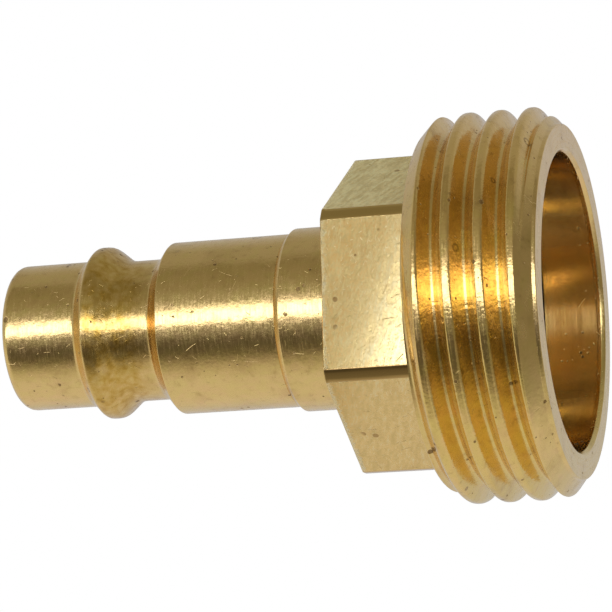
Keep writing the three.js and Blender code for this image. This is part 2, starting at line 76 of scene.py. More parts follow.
COLLAR_X, OUTLET_X, CREST_RADIUS = extent("regulator_body")
INLET_X, SPIGOT_X, BEAD_RADIUS = extent("inlet_plug")
NOSE_X, HEAD_END_X, HEAD_RADIUS = extent("piston")

COLLAR_LENGTH = 4.45
COLLAR_RADIUS = 6.4
BARREL_LENGTH = 9.05
HEX_X = COLLAR_X + COLLAR_LENGTH
BARREL_X = OUTLET_X - BARREL_LENGTH
HEX_ACROSS_FLATS = 19.4
HEX_CORNER_RADIUS = 10.97
FLANGE_CHAMFER = 1.05
MOUTH_CHAMFER_LENGTH = 1.25
MOUTH_CHAMFER_DROP = 1.55
MOUTH_BORE_RADIUS = 10.25
MOUTH_BORE_X = 14.15
MOUTH_LIP = 0.38  # length of the mouth chamfer's last, unthreaded part
RING_GROOVE_RADIUS = 10.85
RING_GROOVE = (14.83, 15.7)
CYLINDER_RADIUS = 8.2
CYLINDER_X = 5.9
VENT_X = 8.0
VENT_TURN = math.pi / 3
VENT_RADIUS = 0.6
VENT_LENGTH = 2.0
VENT_POCKET_RADIUS = 1.5
VENT_POCKET_DEPTH = 0.85
FIT_GAP = 0.05

# Crest and root are widths along the axis. Ease rounds the corners of a flank, as a share of its height.
Thread = namedtuple("Thread", "crest_radius depth pitch crest root ease")
HOSE_THREAD = Thread(CREST_RADIUS, depth=1.12, pitch=2.209, crest=0.5, root=0.34, ease=0.28)
HOSE_GROOVE_X = BARREL_X - 2.65  # where a groove's centre crosses the top
HOSE_RUN_OUT = (19.1, 19.7)  # where the grooves fade out towards the mouth
JOINT_THREAD = Thread(4.95, depth=0.5, pitch=1.0, crest=0.16, root=0.16, ease=0.12)
JOINT_GROOVE_X = COLLAR_X + 0.15
JOINT_THREAD_X = COLLAR_X + 1.15
JOINT_CLEARANCE = 0.07
JOINT_LEAD_IN = 0.45
JOINT_COUNTERSINK = 0.5
O_RING_ROOM_RADIUS = 5.2

STEM_RADIUS = 2.5
STEM_GUIDE_RADIUS = 2.57
COIL_RADIUS = 5.1
WIRE_RADIUS = 0.65
COIL_TURNS = 3.0
CLOSED_TURNS = 0.8  # at each end
GROUND_AWAY = 0.3  # from the wire at each end


# ------------ outlines

ARC_STEP = math.radians(18)
LONGEST_FILLET = 0.48  # of the shorter edge beside it


def rounded(corners):
    """An outline of (x, radius, fillet) corners, with each fillet drawn as an arc.

    An outline that doesn't close has a fillet of 0 at both ends.
    """
    points = []
    count = len(corners)
    for index, (x, radius, fillet) in enumerate(corners):
        here = np.array((x, radius))
        to_last = np.array(corners[index - 1][:2]) - here
        to_next = np.array(corners[(index + 1) % count][:2]) - here
        span = min(np.linalg.norm(to_last), np.linalg.norm(to_next))
        if fillet == 0 or span == 0:
            points.append(here)
            continue
        to_last /= np.linalg.norm(to_last)
        to_next /= np.linalg.norm(to_next)
        half = math.acos(max(-1.0, min(1.0, to_last @ to_next))) / 2
        reach = min(fillet / math.tan(half), LONGEST_FILLET * span)
        arc_radius = reach * math.tan(half)
        middle = to_last + to_next
        centre = here + middle / np.linalg.norm(middle) * math.hypot(reach, arc_radius)
        start = here + to_last * reach - centre
        end = here + to_next * reach - centre
        sweep = math.pi - 2 * half
        steps = max(2, math.ceil(sweep / ARC_STEP))
        for step in range(steps + 1):
            t = step / steps
            weights = math.sin((1 - t) * sweep), math.sin(t * sweep)
            points.append(centre + (start * weights[0] + end * weights[1]) / math.sin(sweep))
    return points


def soft_clamp(value, ease):
    """value held between 0 and 1, with its two corners rounded over a width of ease."""
    def ramp(t):
        return np.where(t < -ease, 0, np.where(t > ease, t, (t + ease) ** 2 / (4 * ease)))
    return ramp(value) - ramp(value - 1)


def groove_depth(thread, x, angle, groove_x):
    """How far a helical thread's surface lies under its crests, at x and angle."""
    phase = (x - groove_x) / thread.pitch - angle / (2 * math.pi)
    from_centre = np.abs((phase + 0.5) % 1 - 0.5) * thread.pitch
    flank_start = (thread.pitch - thread.crest) / 2
    flank_end = thread.root / 2
    share = (flank_start - from_centre) / (flank_start - flank_end)
    return thread.depth * soft_clamp(share, thread.ease)


# ------------ meshes

SAME_POINT = 1e-8  # metres between points that count as one
NO_LENGTH = 1e-9  # metres of edge that count as none
DRILL_OVERRUN = 1


def grid_mesh(xs, radii, angles, row_materials=None):
    """A closed skin from rows of points round the axis. xs and radii hold a row for each outline point."""
    rows, columns = radii.shape
    y = -radii * np.sin(angles)
    z = radii * np.cos(angles)
    vertices = np.stack([xs, y, z], axis=-1).reshape(-1, 3) * MM
    row, column = np.meshgrid(np.arange(rows), np.arange(columns), indexing="ij")
    next_row = (row + 1) % rows
    next_column = (column + 1) % columns
    corners = [row * columns + column, row * columns + next_column]
    corners += [next_row * columns + next_column, next_row * columns + column]
    faces = np.stack(corners, axis=-1).reshape(-1, 4)
    mesh = bpy.data.meshes.new("skin")
    mesh.from_pydata(vertices.tolist(), [], faces.tolist())
    if row_materials is not None:
        mesh.polygons.foreach_set("material_index", np.repeat(row_materials, columns).astype(np.int32))
    return joined_points(mesh)


def joined_points(mesh):
    """Joins the points of mesh that meet, such as those on the axis, and gives it back."""
    work = bmesh.new()
    work.from_mesh(mesh)
    bmesh.ops.remove_doubles(work, verts=work.verts, dist=SAME_POINT)
    bmesh.ops.dissolve_degenerate(work, edges=work.edges, dist=NO_LENGTH)
    return finished(work, mesh)


def finished(work, mesh=None):
    """Turns every face outwards and puts work into mesh, or into a new one."""
    bmesh.ops.recalc_face_normals(work, faces=work.faces)
    mesh = mesh or bpy.data.meshes.new("built")
    work.to_mesh(mesh)
    work.free()
    return mesh


def even_angles(columns):
    return np.arange(columns) * 2 * math.pi / columns


def turned_mesh(corners, columns=96):
    points = np.array(rounded(corners))
    xs = np.repeat(points[:, :1], columns, axis=1)
    radii = np.repeat(points[:, 1:], columns, axis=1)
    return grid_mesh(xs, radii, even_angles(columns))


def rod_mesh(start, end, radius, columns, edge=0):
    return turned_mesh([(start, 0, 0), (start, radius, edge), (end, radius, edge), (end, 0, 0)], columns)


def drilled(mesh, drills):
    """mesh with each drill cut out of it. A drill is a mesh and its placing."""
    target = bpy.data.objects.new("drilled", mesh)
    bpy.context.scene.collection.objects.link(target)
    cutters = []
    for drill, placing in drills:
        cutter = bpy.data.objects.new("drill", drill)
        cutter.matrix_world = placing
        bpy.context.scene.collection.objects.link(cutter)
        cut = target.modifiers.new("cut", "BOOLEAN")
        cut.operation = "DIFFERENCE"
        cut.solver = "EXACT"
        cut.object = cutter
        cutters.append(cutter)
    bpy.context.view_layer.update()
    evaluated = target.evaluated_get(bpy.context.evaluated_depsgraph_get())
    result = bpy.data.meshes.new_from_object(evaluated)
    for used in [target, *cutters]:
        bpy.data.objects.remove(used)
    return result


def add_piece(node, mesh, *materials, sharp_degrees=40):
    """Shows mesh in place of a CAD node, riding on that node's body."""
    mesh.name = node + "_piece"
    piece = bpy.data.objects.new(mesh.name, mesh)
    bpy.context.scene.collection.objects.link(piece)
    for material in materials:
        mesh.materials.append(material)
    mesh.shade_smooth()
    mesh.set_sharp_from_angle(angle=math.radians(sharp_degrees))
    weighted = piece.modifiers.new("weighted normals", "WEIGHTED_NORMAL")
    weighted.keep_sharp = True
    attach(piece, BODY_OF_NODE[node])
    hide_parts(node)
    return piece


# ------------ body

BODY_TURNED, BODY_FLAT, BODY_THREAD, BODY_BORE = range(4)  # the body's material slots
HEX_EDGE = 0.3  # degrees of bevel between a flat and the narrow band beside it
HEX_BEVEL = 0.07  # at the end of the hexagon next to the collar
HEX_ROWS = (0.06, 0.35, 0.65, 0.95)  # shares of the hexagon's length
BAND_STEPS = (-1.0, -0.5, 0.0, 0.5, 1.0)
FLAT_COLUMNS = 35
BURR_HEIGHT = 0.045
HAIRLINE = 0.02
BARREL_ROW_STEP = 0.045
BARREL_EDGE = 0.04  # how softly the thread and the chamfers meet
JOINT_ROW_STEP = 0.07
random = np.random.default_rng(7)


def hex_band_half():
    """Half the angle of the narrow band that is left at each corner of the hexagon, in degrees."""
    return 30 - math.degrees(math.acos(HEX_ACROSS_FLATS / 2 / HEX_CORNER_RADIUS))


def body_angles():
    """Columns round the body, with the edges of the hexagon's bands on columns of their own."""
    band = hex_band_half()
    angles = []
    for corner in range(6):
        middle = 30 + 60 * corner
        angles += [middle + step * (band - HEX_EDGE / 2) for step in BAND_STEPS]
        flat = np.linspace(middle + band + HEX_EDGE, middle + 60 - band - HEX_EDGE, FLAT_COLUMNS)
        angles += flat.tolist()
    return np.radians(np.array(angles))


def hex_radius(angles):
    from_flat = (angles + math.pi / 6) % (math.pi / 3) - math.pi / 6
    return np.minimum(HEX_ACROSS_FLATS / 2 / np.cos(from_flat), HEX_CORNER_RADIUS)


class Skin:
    """Rows of a skin, each a ring of points round the axis, and the material of the faces after each row."""

    def __init__(self, angles):
        self.angles = angles
        self.xs = []
        self.radii = []
        self.materials = []

    def row(self, x, radius, material):
        self.xs.append(np.broadcast_to(x, self.angles.shape))
        self.radii.append(np.broadcast_to(radius, self.angles.shape))
        self.materials.append(material)

    def outline(self, corners, material):
        for x, radius in rounded(corners):
            self.row(x, radius, material)

    def mesh(self):
        return grid_mesh(np.array(self.xs), np.array(self.radii), self.angles, np.array(self.materials))


def add_collar(skin):
    corners = [
        (COLLAR_X, O_RING_ROOM_RADIUS, 0),
        (COLLAR_X, COLLAR_RADIUS - 0.33, 0.03),
        (COLLAR_X + 0.38, COLLAR_RADIUS, 0.12),
        (HEX_X, COLLAR_RADIUS, 0.15),
        (HEX_X, COLLAR_RADIUS + 0.6, 0),
    ]
    skin.outline(corners, BODY_TURNED)


def add_hexagon(skin):
    """The hexagon, with the ragged burr that the tool left along the collar end of its flats."""
    outer = hex_radius(skin.angles)
    burr = random.uniform(0, BURR_HEIGHT, outer.shape) * (outer < HEX_CORNER_RADIUS - HAIRLINE)
    skin.row(HEX_X, outer - 3 * HEX_BEVEL, BODY_TURNED)
    skin.row(HEX_X, outer - HEX_BEVEL, BODY_TURNED)
    skin.row(HEX_X + 0.3 * HEX_BEVEL, outer - 0.3 * HEX_BEVEL, BODY_TURNED)
    skin.row(HEX_X + HEX_BEVEL, outer + burr, BODY_FLAT)
    skin.row(HEX_X + 2.2 * HEX_BEVEL, outer + burr * 0.5, BODY_FLAT)
    for share in HEX_ROWS:
        skin.row(HEX_X + share * (BARREL_X - HEX_X), outer, BODY_FLAT)
    skin.row(BARREL_X - HAIRLINE, outer, BODY_TURNED)
    skin.row(BARREL_X, outer + HAIRLINE, BODY_TURNED)


def groove_share(x):
    """Share of the hose thread's full depth. It runs out over the last part of the mouth chamfer."""
    start, end = HOSE_RUN_OUT
    return min(1.0, max(0.0, (end - x) / (end - start)))


def add_barrel(skin):
    """The hose thread, cut into a barrel that is chamfered at both ends."""
    thread_x = BARREL_X + FLANGE_CHAMFER - 0.2
    shoulder = CREST_RADIUS - FLANGE_CHAMFER
    skin.row(BARREL_X, shoulder - 0.2, BODY_TURNED)
    for x in np.arange(BARREL_X, OUTLET_X - MOUTH_LIP, BARREL_ROW_STEP):
        rise = min(1.0, (x - BARREL_X) / FLANGE_CHAMFER)
        fall = max(0.0, (x - OUTLET_X + MOUTH_CHAMFER_LENGTH) / MOUTH_CHAMFER_LENGTH)
        envelope = shoulder + FLANGE_CHAMFER * rise - MOUTH_CHAMFER_DROP * fall
        cut = CREST_RADIUS - groove_depth(HOSE_THREAD, x, skin.angles, HOSE_GROOVE_X) * groove_share(x)
        lower = 0.5 * (envelope + cut - np.sqrt((envelope - cut) ** 2 + BARREL_EDGE ** 2))
        skin.row(x, lower, BODY_THREAD if x > thread_x and fall == 0 else BODY_TURNED)


def add_bore(skin):
    chamfer_slope = MOUTH_CHAMFER_DROP / MOUTH_CHAMFER_LENGTH
    lip_radius = CREST_RADIUS - MOUTH_CHAMFER_DROP + MOUTH_LIP * chamfer_slope
    face = [
        (OUTLET_X - MOUTH_LIP, lip_radius, 0),
        (OUTLET_X - MOUTH_LIP + 0.1, lip_radius - 0.1 * chamfer_slope, 0.1),
        (OUTLET_X - 0.03, lip_radius - 0.2, 0.1),
        (OUTLET_X, MOUTH_BORE_RADIUS + 0.2, 0.1),
        (OUTLET_X - 0.25, MOUTH_BORE_RADIUS, 0.1),
        (OUTLET_X - 0.5, MOUTH_BORE_RADIUS, 0),
    ]
    bore = [
        (OUTLET_X - 0.6, MOUTH_BORE_RADIUS, 0),
        (RING_GROOVE[1], MOUTH_BORE_RADIUS, 0.04),
        (RING_GROOVE[1], RING_GROOVE_RADIUS, 0.05),
        (RING_GROOVE[0], RING_GROOVE_RADIUS, 0.05),
        (RING_GROOVE[0], MOUTH_BORE_RADIUS, 0.04),
        (MOUTH_BORE_X, MOUTH_BORE_RADIUS, 0.1),
        (MOUTH_BORE_X, CYLINDER_RADIUS, 0.08),
        (CYLINDER_X, CYLINDER_RADIUS, 0.2),
        (CYLINDER_X, JOINT_THREAD.crest_radius + 0.2, 0),
    ]
    skin.outline(face, BODY_TURNED)
    skin.outline(bore, BODY_BORE)


def add_tapped_hole(skin):
    crest = JOINT_THREAD.crest_radius + JOINT_CLEARANCE
    for x in np.arange(CYLINDER_X, JOINT_THREAD_X, -JOINT_ROW_STEP):
        ridge = groove_depth(JOINT_THREAD, x, skin.angles, JOINT_GROOVE_X)
        countersink = max(0.0, JOINT_COUNTERSINK - (CYLINDER_X - x))
        skin.row(x, np.maximum(crest - ridge, crest - JOINT_THREAD.depth + countersink), BODY_BORE)
    room = [(JOINT_THREAD_X, crest, 0), (JOINT_THREAD_X, O_RING_ROOM_RADIUS, 0.04)]
    skin.outline([*room, (COLLAR_X + 0.01, O_RING_ROOM_RADIUS, 0)], BODY_BORE)


def vent_placing():
    """Takes a rod from the X axis to the vent. Its x then runs inwards from the flat's face."""
    inward = Matrix.Rotation(-math.pi / 2, 4, "Y")
    place = Matrix.Translation((VENT_X * MM, 0, -HEX_ACROSS_FLATS / 2 * MM))
    return Matrix.Rotation(VENT_TURN, 4, "X") @ place @ inward


def body_mesh():
    skin = Skin(body_angles())
    add_collar(skin)
    add_hexagon(skin)
    add_barrel(skin)
    add_bore(skin)
    add_tapped_hole(skin)
    hole = rod_mesh(-DRILL_OVERRUN, VENT_LENGTH + DRILL_OVERRUN, VENT_RADIUS, 32)
    pocket = rod_mesh(-DRILL_OVERRUN, VENT_POCKET_DEPTH, VENT_POCKET_RADIUS, 48)
    return drilled(skin.mesh(), [(hole, vent_placing()), (pocket, vent_placing())])


# ------------ plug, nozzle and gland

TIP_RADIUS = 5.15
NECK_RADIUS = 4.96
SHANK_RADIUS = 6.05
SPIGOT_NECK_RADIUS = 4.38
SHANK_LENGTH = 9.44
NECK_LENGTH = 2.66
BEAD_LENGTH = 2.8
SHANK_X = COLLAR_X - SHANK_LENGTH
NECK_X = SHANK_X - NECK_LENGTH
BEAD_X = NECK_X - BEAD_LENGTH
SHANK_END_X = COLLAR_X - 0.01
INLET_CHAMFER = 0.3
STRAINER_POCKET_RADIUS = 3.5
STRAINER_POCKET_X = -18.45
SNAP_GROOVE_RADIUS = 3.82
SNAP_GROOVE = (-19.6, -19.05)
INLET_BORE_RADIUS = 3.1
THROAT_RADIUS = 1.6
THROAT_X = -13.4
NOZZLE_POCKET_RADIUS = 2.6
NOZZLE_POCKET = (-12.65, -9.6)
SEAT_CHAMBER_RADIUS = 3.0
GLAND_X = -3.3
GLAND_RADIUS = 3.45
NOZZLE_BORE_RADIUS = 1.15
NOZZLE_GROOVE_RADIUS = 1.95
NOZZLE_GROOVE = (0.65, 1.55)  # from the nozzle's inlet end
NOZZLE_SHOULDER = 2.25
BUSH_RADIUS = 3.4


def add_plug_outside(skin):
    corners = [
        (INLET_X, STRAINER_POCKET_RADIUS + INLET_CHAMFER, 0),
        (INLET_X, TIP_RADIUS, 0.7),
        (BEAD_X, TIP_RADIUS, 0.5),
        (BEAD_X + 0.83, BEAD_RADIUS, 0.3),
        (BEAD_X + 1.6, BEAD_RADIUS, 0.9),
        (NECK_X + 0.15, NECK_RADIUS, 1.2),
        (SHANK_X, NECK_RADIUS, 0.6),
        (SHANK_X + 0.87, SHANK_RADIUS, 0.15),
        (SHANK_END_X, SHANK_RADIUS, 0.04),
        (SHANK_END_X, SPIGOT_NECK_RADIUS, 0.1),
        (JOINT_THREAD_X, SPIGOT_NECK_RADIUS, 0),
    ]
    skin.outline(corners, BODY_TURNED)


def add_plug_thread(skin):
    crest = JOINT_THREAD.crest_radius
    for x in np.arange(JOINT_THREAD_X, SPIGOT_X, JOINT_ROW_STEP):
        groove = groove_depth(JOINT_THREAD, x, skin.angles, JOINT_GROOVE_X)
        lead_in = max(0.0, JOINT_LEAD_IN - (x - JOINT_THREAD_X), JOINT_LEAD_IN - (SPIGOT_X - x))
        skin.row(x, np.minimum(crest - groove, crest - lead_in), BODY_TURNED)


def add_plug_waterway(skin):
    corners = [
        (SPIGOT_X, JOINT_THREAD.crest_radius - JOINT_LEAD_IN, 0),
        (SPIGOT_X, GLAND_RADIUS, 0.06),
        (GLAND_X, GLAND_RADIUS, 0.05),
        (GLAND_X, SEAT_CHAMBER_RADIUS, 0.05),
        (NOZZLE_POCKET[1], SEAT_CHAMBER_RADIUS, 0.05),
        (NOZZLE_POCKET[1], NOZZLE_POCKET_RADIUS, 0.05),
        (NOZZLE_POCKET[0], NOZZLE_POCKET_RADIUS, 0.05),
        (NOZZLE_POCKET[0], THROAT_RADIUS, 0.05),
        (THROAT_X, THROAT_RADIUS, 0.1),
        (THROAT_X, INLET_BORE_RADIUS, 0.15),
        (STRAINER_POCKET_X, INLET_BORE_RADIUS, 0.05),
        (STRAINER_POCKET_X, STRAINER_POCKET_RADIUS, 0.04),
        (SNAP_GROOVE[1], STRAINER_POCKET_RADIUS, 0.03),
        (SNAP_GROOVE[1], SNAP_GROOVE_RADIUS, 0.04),
        (SNAP_GROOVE[0], SNAP_GROOVE_RADIUS, 0.04),
        (SNAP_GROOVE[0], STRAINER_POCKET_RADIUS, 0.03),
        (INLET_X + INLET_CHAMFER, STRAINER_POCKET_RADIUS, 0.05),
        (INLET_X + 0.01, STRAINER_POCKET_RADIUS + INLET_CHAMFER - 0.01, 0),
    ]
    skin.outline(corners, BODY_TURNED)


def plug_mesh():
    skin = Skin(even_angles(180))
    add_plug_outside(skin)
    add_plug_thread(skin)
    add_plug_waterway(skin)
    return skin.mesh()


def nozzle_mesh():
    """A nozzle with a groove for its O-ring, and a cone that rises to the lip."""
    start, end, radius = extent("nozzle_seat")
    groove_start, groove_end = [start + x for x in NOZZLE_GROOVE]
    corners = [
        (start, NOZZLE_BORE_RADIUS, 0.1),
        (start, radius, 0.1),
        (groove_start, radius, 0.04),
        (groove_start, NOZZLE_GROOVE_RADIUS, 0.06),
        (groove_end, NOZZLE_GROOVE_RADIUS, 0.06),
        (groove_end, radius, 0.04),
        (start + NOZZLE_SHOULDER, radius, 0.1),
        (start + NOZZLE_SHOULDER, 1.9, 0.1),
        (end, 1.45, 0.08),
        (end, NOZZLE_BORE_RADIUS, 0.08),
    ]
    return turned_mesh(corners)


def guide_bush_mesh():
    start, end, flange = extent("guide_bush")
    corners = [
        (start, STEM_GUIDE_RADIUS, 0.15),
        (start, BUSH_RADIUS, 0.15),
        (SPIGOT_X + FIT_GAP, BUSH_RADIUS, 0.05),
        (SPIGOT_X + FIT_GAP, flange, 0.08),
        (end, flange, 0.1),
        (end, STEM_GUIDE_RADIUS, 0.15),
    ]
    return turned_mesh(corners)


def washer_mesh(node, inner_radius, edge):
    start, end, outer_radius = extent(node)
    outline = [(start, inner_radius), (start, outer_radius), (end, outer_radius), (end, inner_radius)]
    return turned_mesh([(*corner, edge) for corner in outline], 128)


def o_ring_mesh(node, half_height):
    """A rubber ring, squeezed to a rounded box where it meets its groove."""
    start, end, outer_radius = extent(node)
    sides, roundness = 36, 0.8
    corners = []
    for side in range(sides):
        turn = 2 * math.pi * side / sides
        across, up = -math.cos(turn), math.sin(turn)
        x = (start + end) / 2 + (end - start) / 2 * math.copysign(abs(across) ** roundness, across)
        radius = outer_radius - half_height + half_height * math.copysign(abs(up) ** roundness, up)
        corners.append((x, radius, 0))
    return turned_mesh(corners, 128)


# ------------ piston and spring

NOSE_RADIUS = 2.2
NOSE_LENGTH = 4.0
DISC_POCKET_RADIUS = 1.75
DISC_POCKET_DEPTH = 1.1
PISTON_BORE_RADIUS = 1.35
CROSS_HOLE_RADIUS = 0.7
CROSS_HOLE_X = NOSE_X + 2.5
HEAD_X = HEAD_END_X - 3.55
HEAD_GROOVE_RADIUS = 7.0
HEAD_GROOVE = (HEAD_X + 0.7, HEAD_X + 2.85)
RECESS_X = HEAD_END_X - 1.25
RECESS_INNER_RADIUS = 3.3
RECESS_OUTER_RADIUS = 6.0
OUTFLOW_RADIUS = 3.2
OUTFLOW_DEPTH = 1.1


def piston_mesh():
    floor = NOSE_X + DISC_POCKET_DEPTH
    bore_x = floor + 0.6
    corners = [
        (floor, 0, 0),
        (floor, DISC_POCKET_RADIUS, 0.08),
        (NOSE_X, DISC_POCKET_RADIUS, 0.06),
        (NOSE_X, NOSE_RADIUS, 0.15),
        (NOSE_X + NOSE_LENGTH, NOSE_RADIUS, 0.1),
        (NOSE_X + NOSE_LENGTH + 0.3, STEM_RADIUS, 0.1),
        (RECESS_X - 1.6, STEM_RADIUS, 0.8),
        (RECESS_X, RECESS_INNER_RADIUS, 0.3),
        (RECESS_X, RECESS_OUTER_RADIUS, 0.2),
        (HEAD_X, RECESS_OUTER_RADIUS, 0.1),
        (HEAD_X, HEAD_RADIUS, 0.2),
        (HEAD_GROOVE[0], HEAD_RADIUS, 0.04),
        (HEAD_GROOVE[0], HEAD_GROOVE_RADIUS, 0.1),
        (HEAD_GROOVE[1], HEAD_GROOVE_RADIUS, 0.1),
        (HEAD_GROOVE[1], HEAD_RADIUS, 0.04),
        (HEAD_END_X, HEAD_RADIUS, 0.2),
        (HEAD_END_X, OUTFLOW_RADIUS, 0.12),
        (HEAD_END_X - OUTFLOW_DEPTH, PISTON_BORE_RADIUS, 0.2),
        (bore_x, PISTON_BORE_RADIUS, 0),
        (bore_x, 0, 0),
    ]
    reach = STEM_RADIUS + DRILL_OVERRUN
    hole = rod_mesh(-reach, reach, CROSS_HOLE_RADIUS, 32)
    place = Matrix.Translation((CROSS_HOLE_X * MM, 0, 0))
    upright = place @ Matrix.Rotation(math.pi / 2, 4, "Y")
    level = place @ Matrix.Rotation(math.pi / 2, 4, "Z")
    return drilled(turned_mesh(corners, 128), [(hole, upright), (hole, level)])


def seat_disc_mesh():
    start, end, radius = extent("seat_disc")
    return rod_mesh(start, end, radius, 96, edge=0.12)


def spring_centre(turn, start, end):
    """Where the wire's centre lies along the axis after a number of turns. The end turns are closed."""
    closed_rise = 2.06 * WIRE_RADIUS
    open_rise = (end - start - 2 * CLOSED_TURNS * closed_rise) / (COIL_TURNS - 2 * CLOSED_TURNS)
    closed = min(turn, CLOSED_TURNS) + max(turn - COIL_TURNS + CLOSED_TURNS, 0)
    return start + closed_rise * closed + open_rise * (turn - closed)


def spring_mesh():
    start, end, _ = extent("main_spring")
    inset = WIRE_RADIUS - GROUND_AWAY
    steps = int(COIL_TURNS * 72)
    sides = 24
    work = bmesh.new()
    rings = []
    for step in range(steps + 1):
        turn = COIL_TURNS * step / steps
        x = spring_centre(turn, start + inset, end - inset)
        ring = []
        for side in range(sides):
            round_wire = 2 * math.pi * side / sides
            radius = COIL_RADIUS + WIRE_RADIUS * math.cos(round_wire)
            along = min(max(x + WIRE_RADIUS * math.sin(round_wire), start), end)
            angle = 2 * math.pi * turn
            point = Vector((along, -radius * math.sin(angle), radius * math.cos(angle)))
            ring.append(work.verts.new(point * MM))
        rings.append(ring)
    for near, far in zip(rings, rings[1:]):
        for side in range(sides):
            other = (side + 1) % sides
            work.faces.new((near[side], near[other], far[other], far[side]))
    work.faces.new(rings[0])
    work.faces.new(list(reversed(rings[-1])))
    return finished(work)


# ------------ rings, strainer and vent

def plate_mesh(outlines, start, end, edge):
    """A flat plate across the axis, from closed outlines of (y, z) points. Inner outlines are holes."""
    curve = bpy.data.curves.new("plate", "CURVE")
    curve.dimensions = "2D"
    curve.fill_mode = "BOTH"
    curve.extrude = ((end - start) / 2 - edge) * MM
    curve.bevel_depth = edge * MM
    curve.bevel_resolution = 2
    curve.offset = -edge * MM
    for outline in outlines:
        spline = curve.splines.new("POLY")
        spline.points.add(len(outline) - 1)
        for point, (y, z) in zip(spline.points, outline):
            point.co = (y * MM, z * MM, 0, 1)
        spline.use_cyclic_u = True
    holder = bpy.data.objects.new("plate", curve)
    bpy.context.scene.collection.objects.link(holder)
    bpy.context.view_layer.update()
    mesh = bpy.data.meshes.new_from_object(holder.evaluated_get(bpy.context.evaluated_depsgraph_get()))
    bpy.data.objects.remove(holder)
    mesh.transform(Matrix(((0, 0, 1, (start + end) / 2 * MM), (1, 0, 0, 0), (0, 1, 0, 0), (0, 0, 0, 1))))
    return joined_points(mesh)


def polar(radius, from_bottom):
    """A (y, z) point, from its radius and its angle from the lowest point."""
    return radius * math.sin(from_bottom), -radius * math.cos(from_bottom)


def circle(centre, radius, steps=32):
    turns = [2 * math.pi * step / steps for step in range(steps)]
    return [(centre[0] + radius * math.cos(turn), centre[1] + radius * math.sin(turn)) for turn in turns]


def retaining_ring_mesh():
    """A circlip with its gap at the bottom, and a lug with a plier hole on each side of the gap."""
    start, end, outer = extent("retaining_ring")
    inner, gap = outer - 1.5, 0.2
    lug_radius, hole_radius, lug_middle = 1.25, 0.55, inner - 0.35
    lug_angle = gap + 0.02
    lug_half = math.asin(lug_radius / lug_middle)

    def lug_edge(angle, side):
        """Radius of the lug's outer or inner edge at an angle from the bottom."""
        across = lug_middle * math.sin(angle - lug_angle)
        from_middle = side * math.sqrt(max(lug_radius ** 2 - across ** 2, 0))
        return lug_middle * math.cos(angle - lug_angle) + from_middle

    lug_start, lug_end = lug_angle - lug_half, lug_angle + lug_half
    outside = [polar(lug_edge(a, 1), a) for a in np.linspace(lug_start, gap, 10)]
    outside += [polar(outer, a) for a in np.linspace(gap, 2 * math.pi - gap, 160)]
    outside += [polar(lug_edge(a, 1), -a) for a in np.linspace(gap, lug_start, 10)]
    inside = [polar(min(inner, lug_edge(a, -1)), -a) for a in np.linspace(lug_start, lug_end, 24)[1:]]
    inside += [polar(inner, a) for a in np.linspace(2 * math.pi - lug_end, lug_end, 160)[1:-1]]
    inside += [polar(min(inner, lug_edge(a, -1)), a) for a in np.linspace(lug_end, lug_start, 24)[:-1]]
    holes = [circle(polar(lug_middle, side * lug_angle), hole_radius) for side in (-1, 1)]
    return plate_mesh([outside + inside, *holes], start, end, 0.05)


def snap_ring_mesh():
    start, end, outer = extent("strainer_snap_ring")
    inner, gap = outer - 0.66, 0.45
    angles = np.linspace(gap, 2 * math.pi - gap, 96)
    outline = [polar(outer, a) for a in angles] + [polar(inner, a) for a in reversed(angles)]
    return plate_mesh([outline], start, end, 0.08)


def strainer_frame_mesh():
    start, end, flange = extent("strainer_frame")
    bore, skirt, flange_end = 2.45, 2.95, start + 0.5
    corners = [
        (start, bore, 0.1),
        (start, flange, 0.1),
        (flange_end, flange, 0.05),
        (flange_end, skirt, 0.05),
        (end, skirt, 0.15),
        (end, bore, 0.1),
    ]
    return turned_mesh(corners)


SCREEN_WALL = 0.2


def strainer_screen_mesh():
    """A tapered thimble of thin sheet. Its side is a pattern of square cells, each with a round hole."""
    start, end, rim = extent("strainer_screen")
    tip, plain, plain_tip = 1.5, 0.9, 0.3
    cells_round, cells_long, sides, hole_share = 18, 8, 8, 0.62
    length = end - start - plain - plain_tip
    work = bmesh.new()

    def point(along, turn):
        x = start + along
        radius = rim + (tip - rim) * along / (end - start)
        return work.verts.new(Vector((x, -radius * math.sin(turn), radius * math.cos(turn))) * MM)

    def cell(row, column):
        square, hole = [], []
        for side in range(sides):
            turn = 2 * math.pi * side / sides
            reach = 1 / max(abs(math.cos(turn)), abs(math.sin(turn)))
            for ring, size in ((square, reach), (hole, hole_share)):
                along = plain + (row + 0.5 + 0.5 * size * math.cos(turn)) * length / cells_long
                around = (column + 0.5 + 0.5 * size * math.sin(turn)) * 2 * math.pi / cells_round
                ring.append(point(along, around))
        for side in range(sides):
            other = (side + 1) % sides
            work.faces.new((square[side], square[other], hole[other], hole[side]))

    def band(near, far):
        steps = 2 * cells_round
        for step in range(steps):
            turn, next_turn = [2 * math.pi * (step + share) / steps for share in (0, 1)]
            ends = [(near, turn), (near, next_turn), (far, next_turn), (far, turn)]
            work.faces.new([point(*end_point) for end_point in ends])

    for row in range(cells_long):
        for column in range(cells_round):
            cell(row, column)
    band(0, plain)
    band(plain + length, end - start)
    bmesh.ops.remove_doubles(work, verts=work.verts, dist=SAME_POINT)
    rim_of_tip = [e for e in work.edges if e.is_boundary and min(v.co.x for v in e.verts) > (end - 0.01) * MM]
    bmesh.ops.contextual_create(work, geom=rim_of_tip)
    return finished(work)


def vent_filter_mesh():
    """A disc just under the flat. Its x is counted from the flat until it is put in its place."""
    mesh = rod_mesh(0.1, 0.8, VENT_POCKET_RADIUS - FIT_GAP, 48, edge=0.1)
    mesh.transform(vent_placing())
    return mesh


# ------------ shader fields

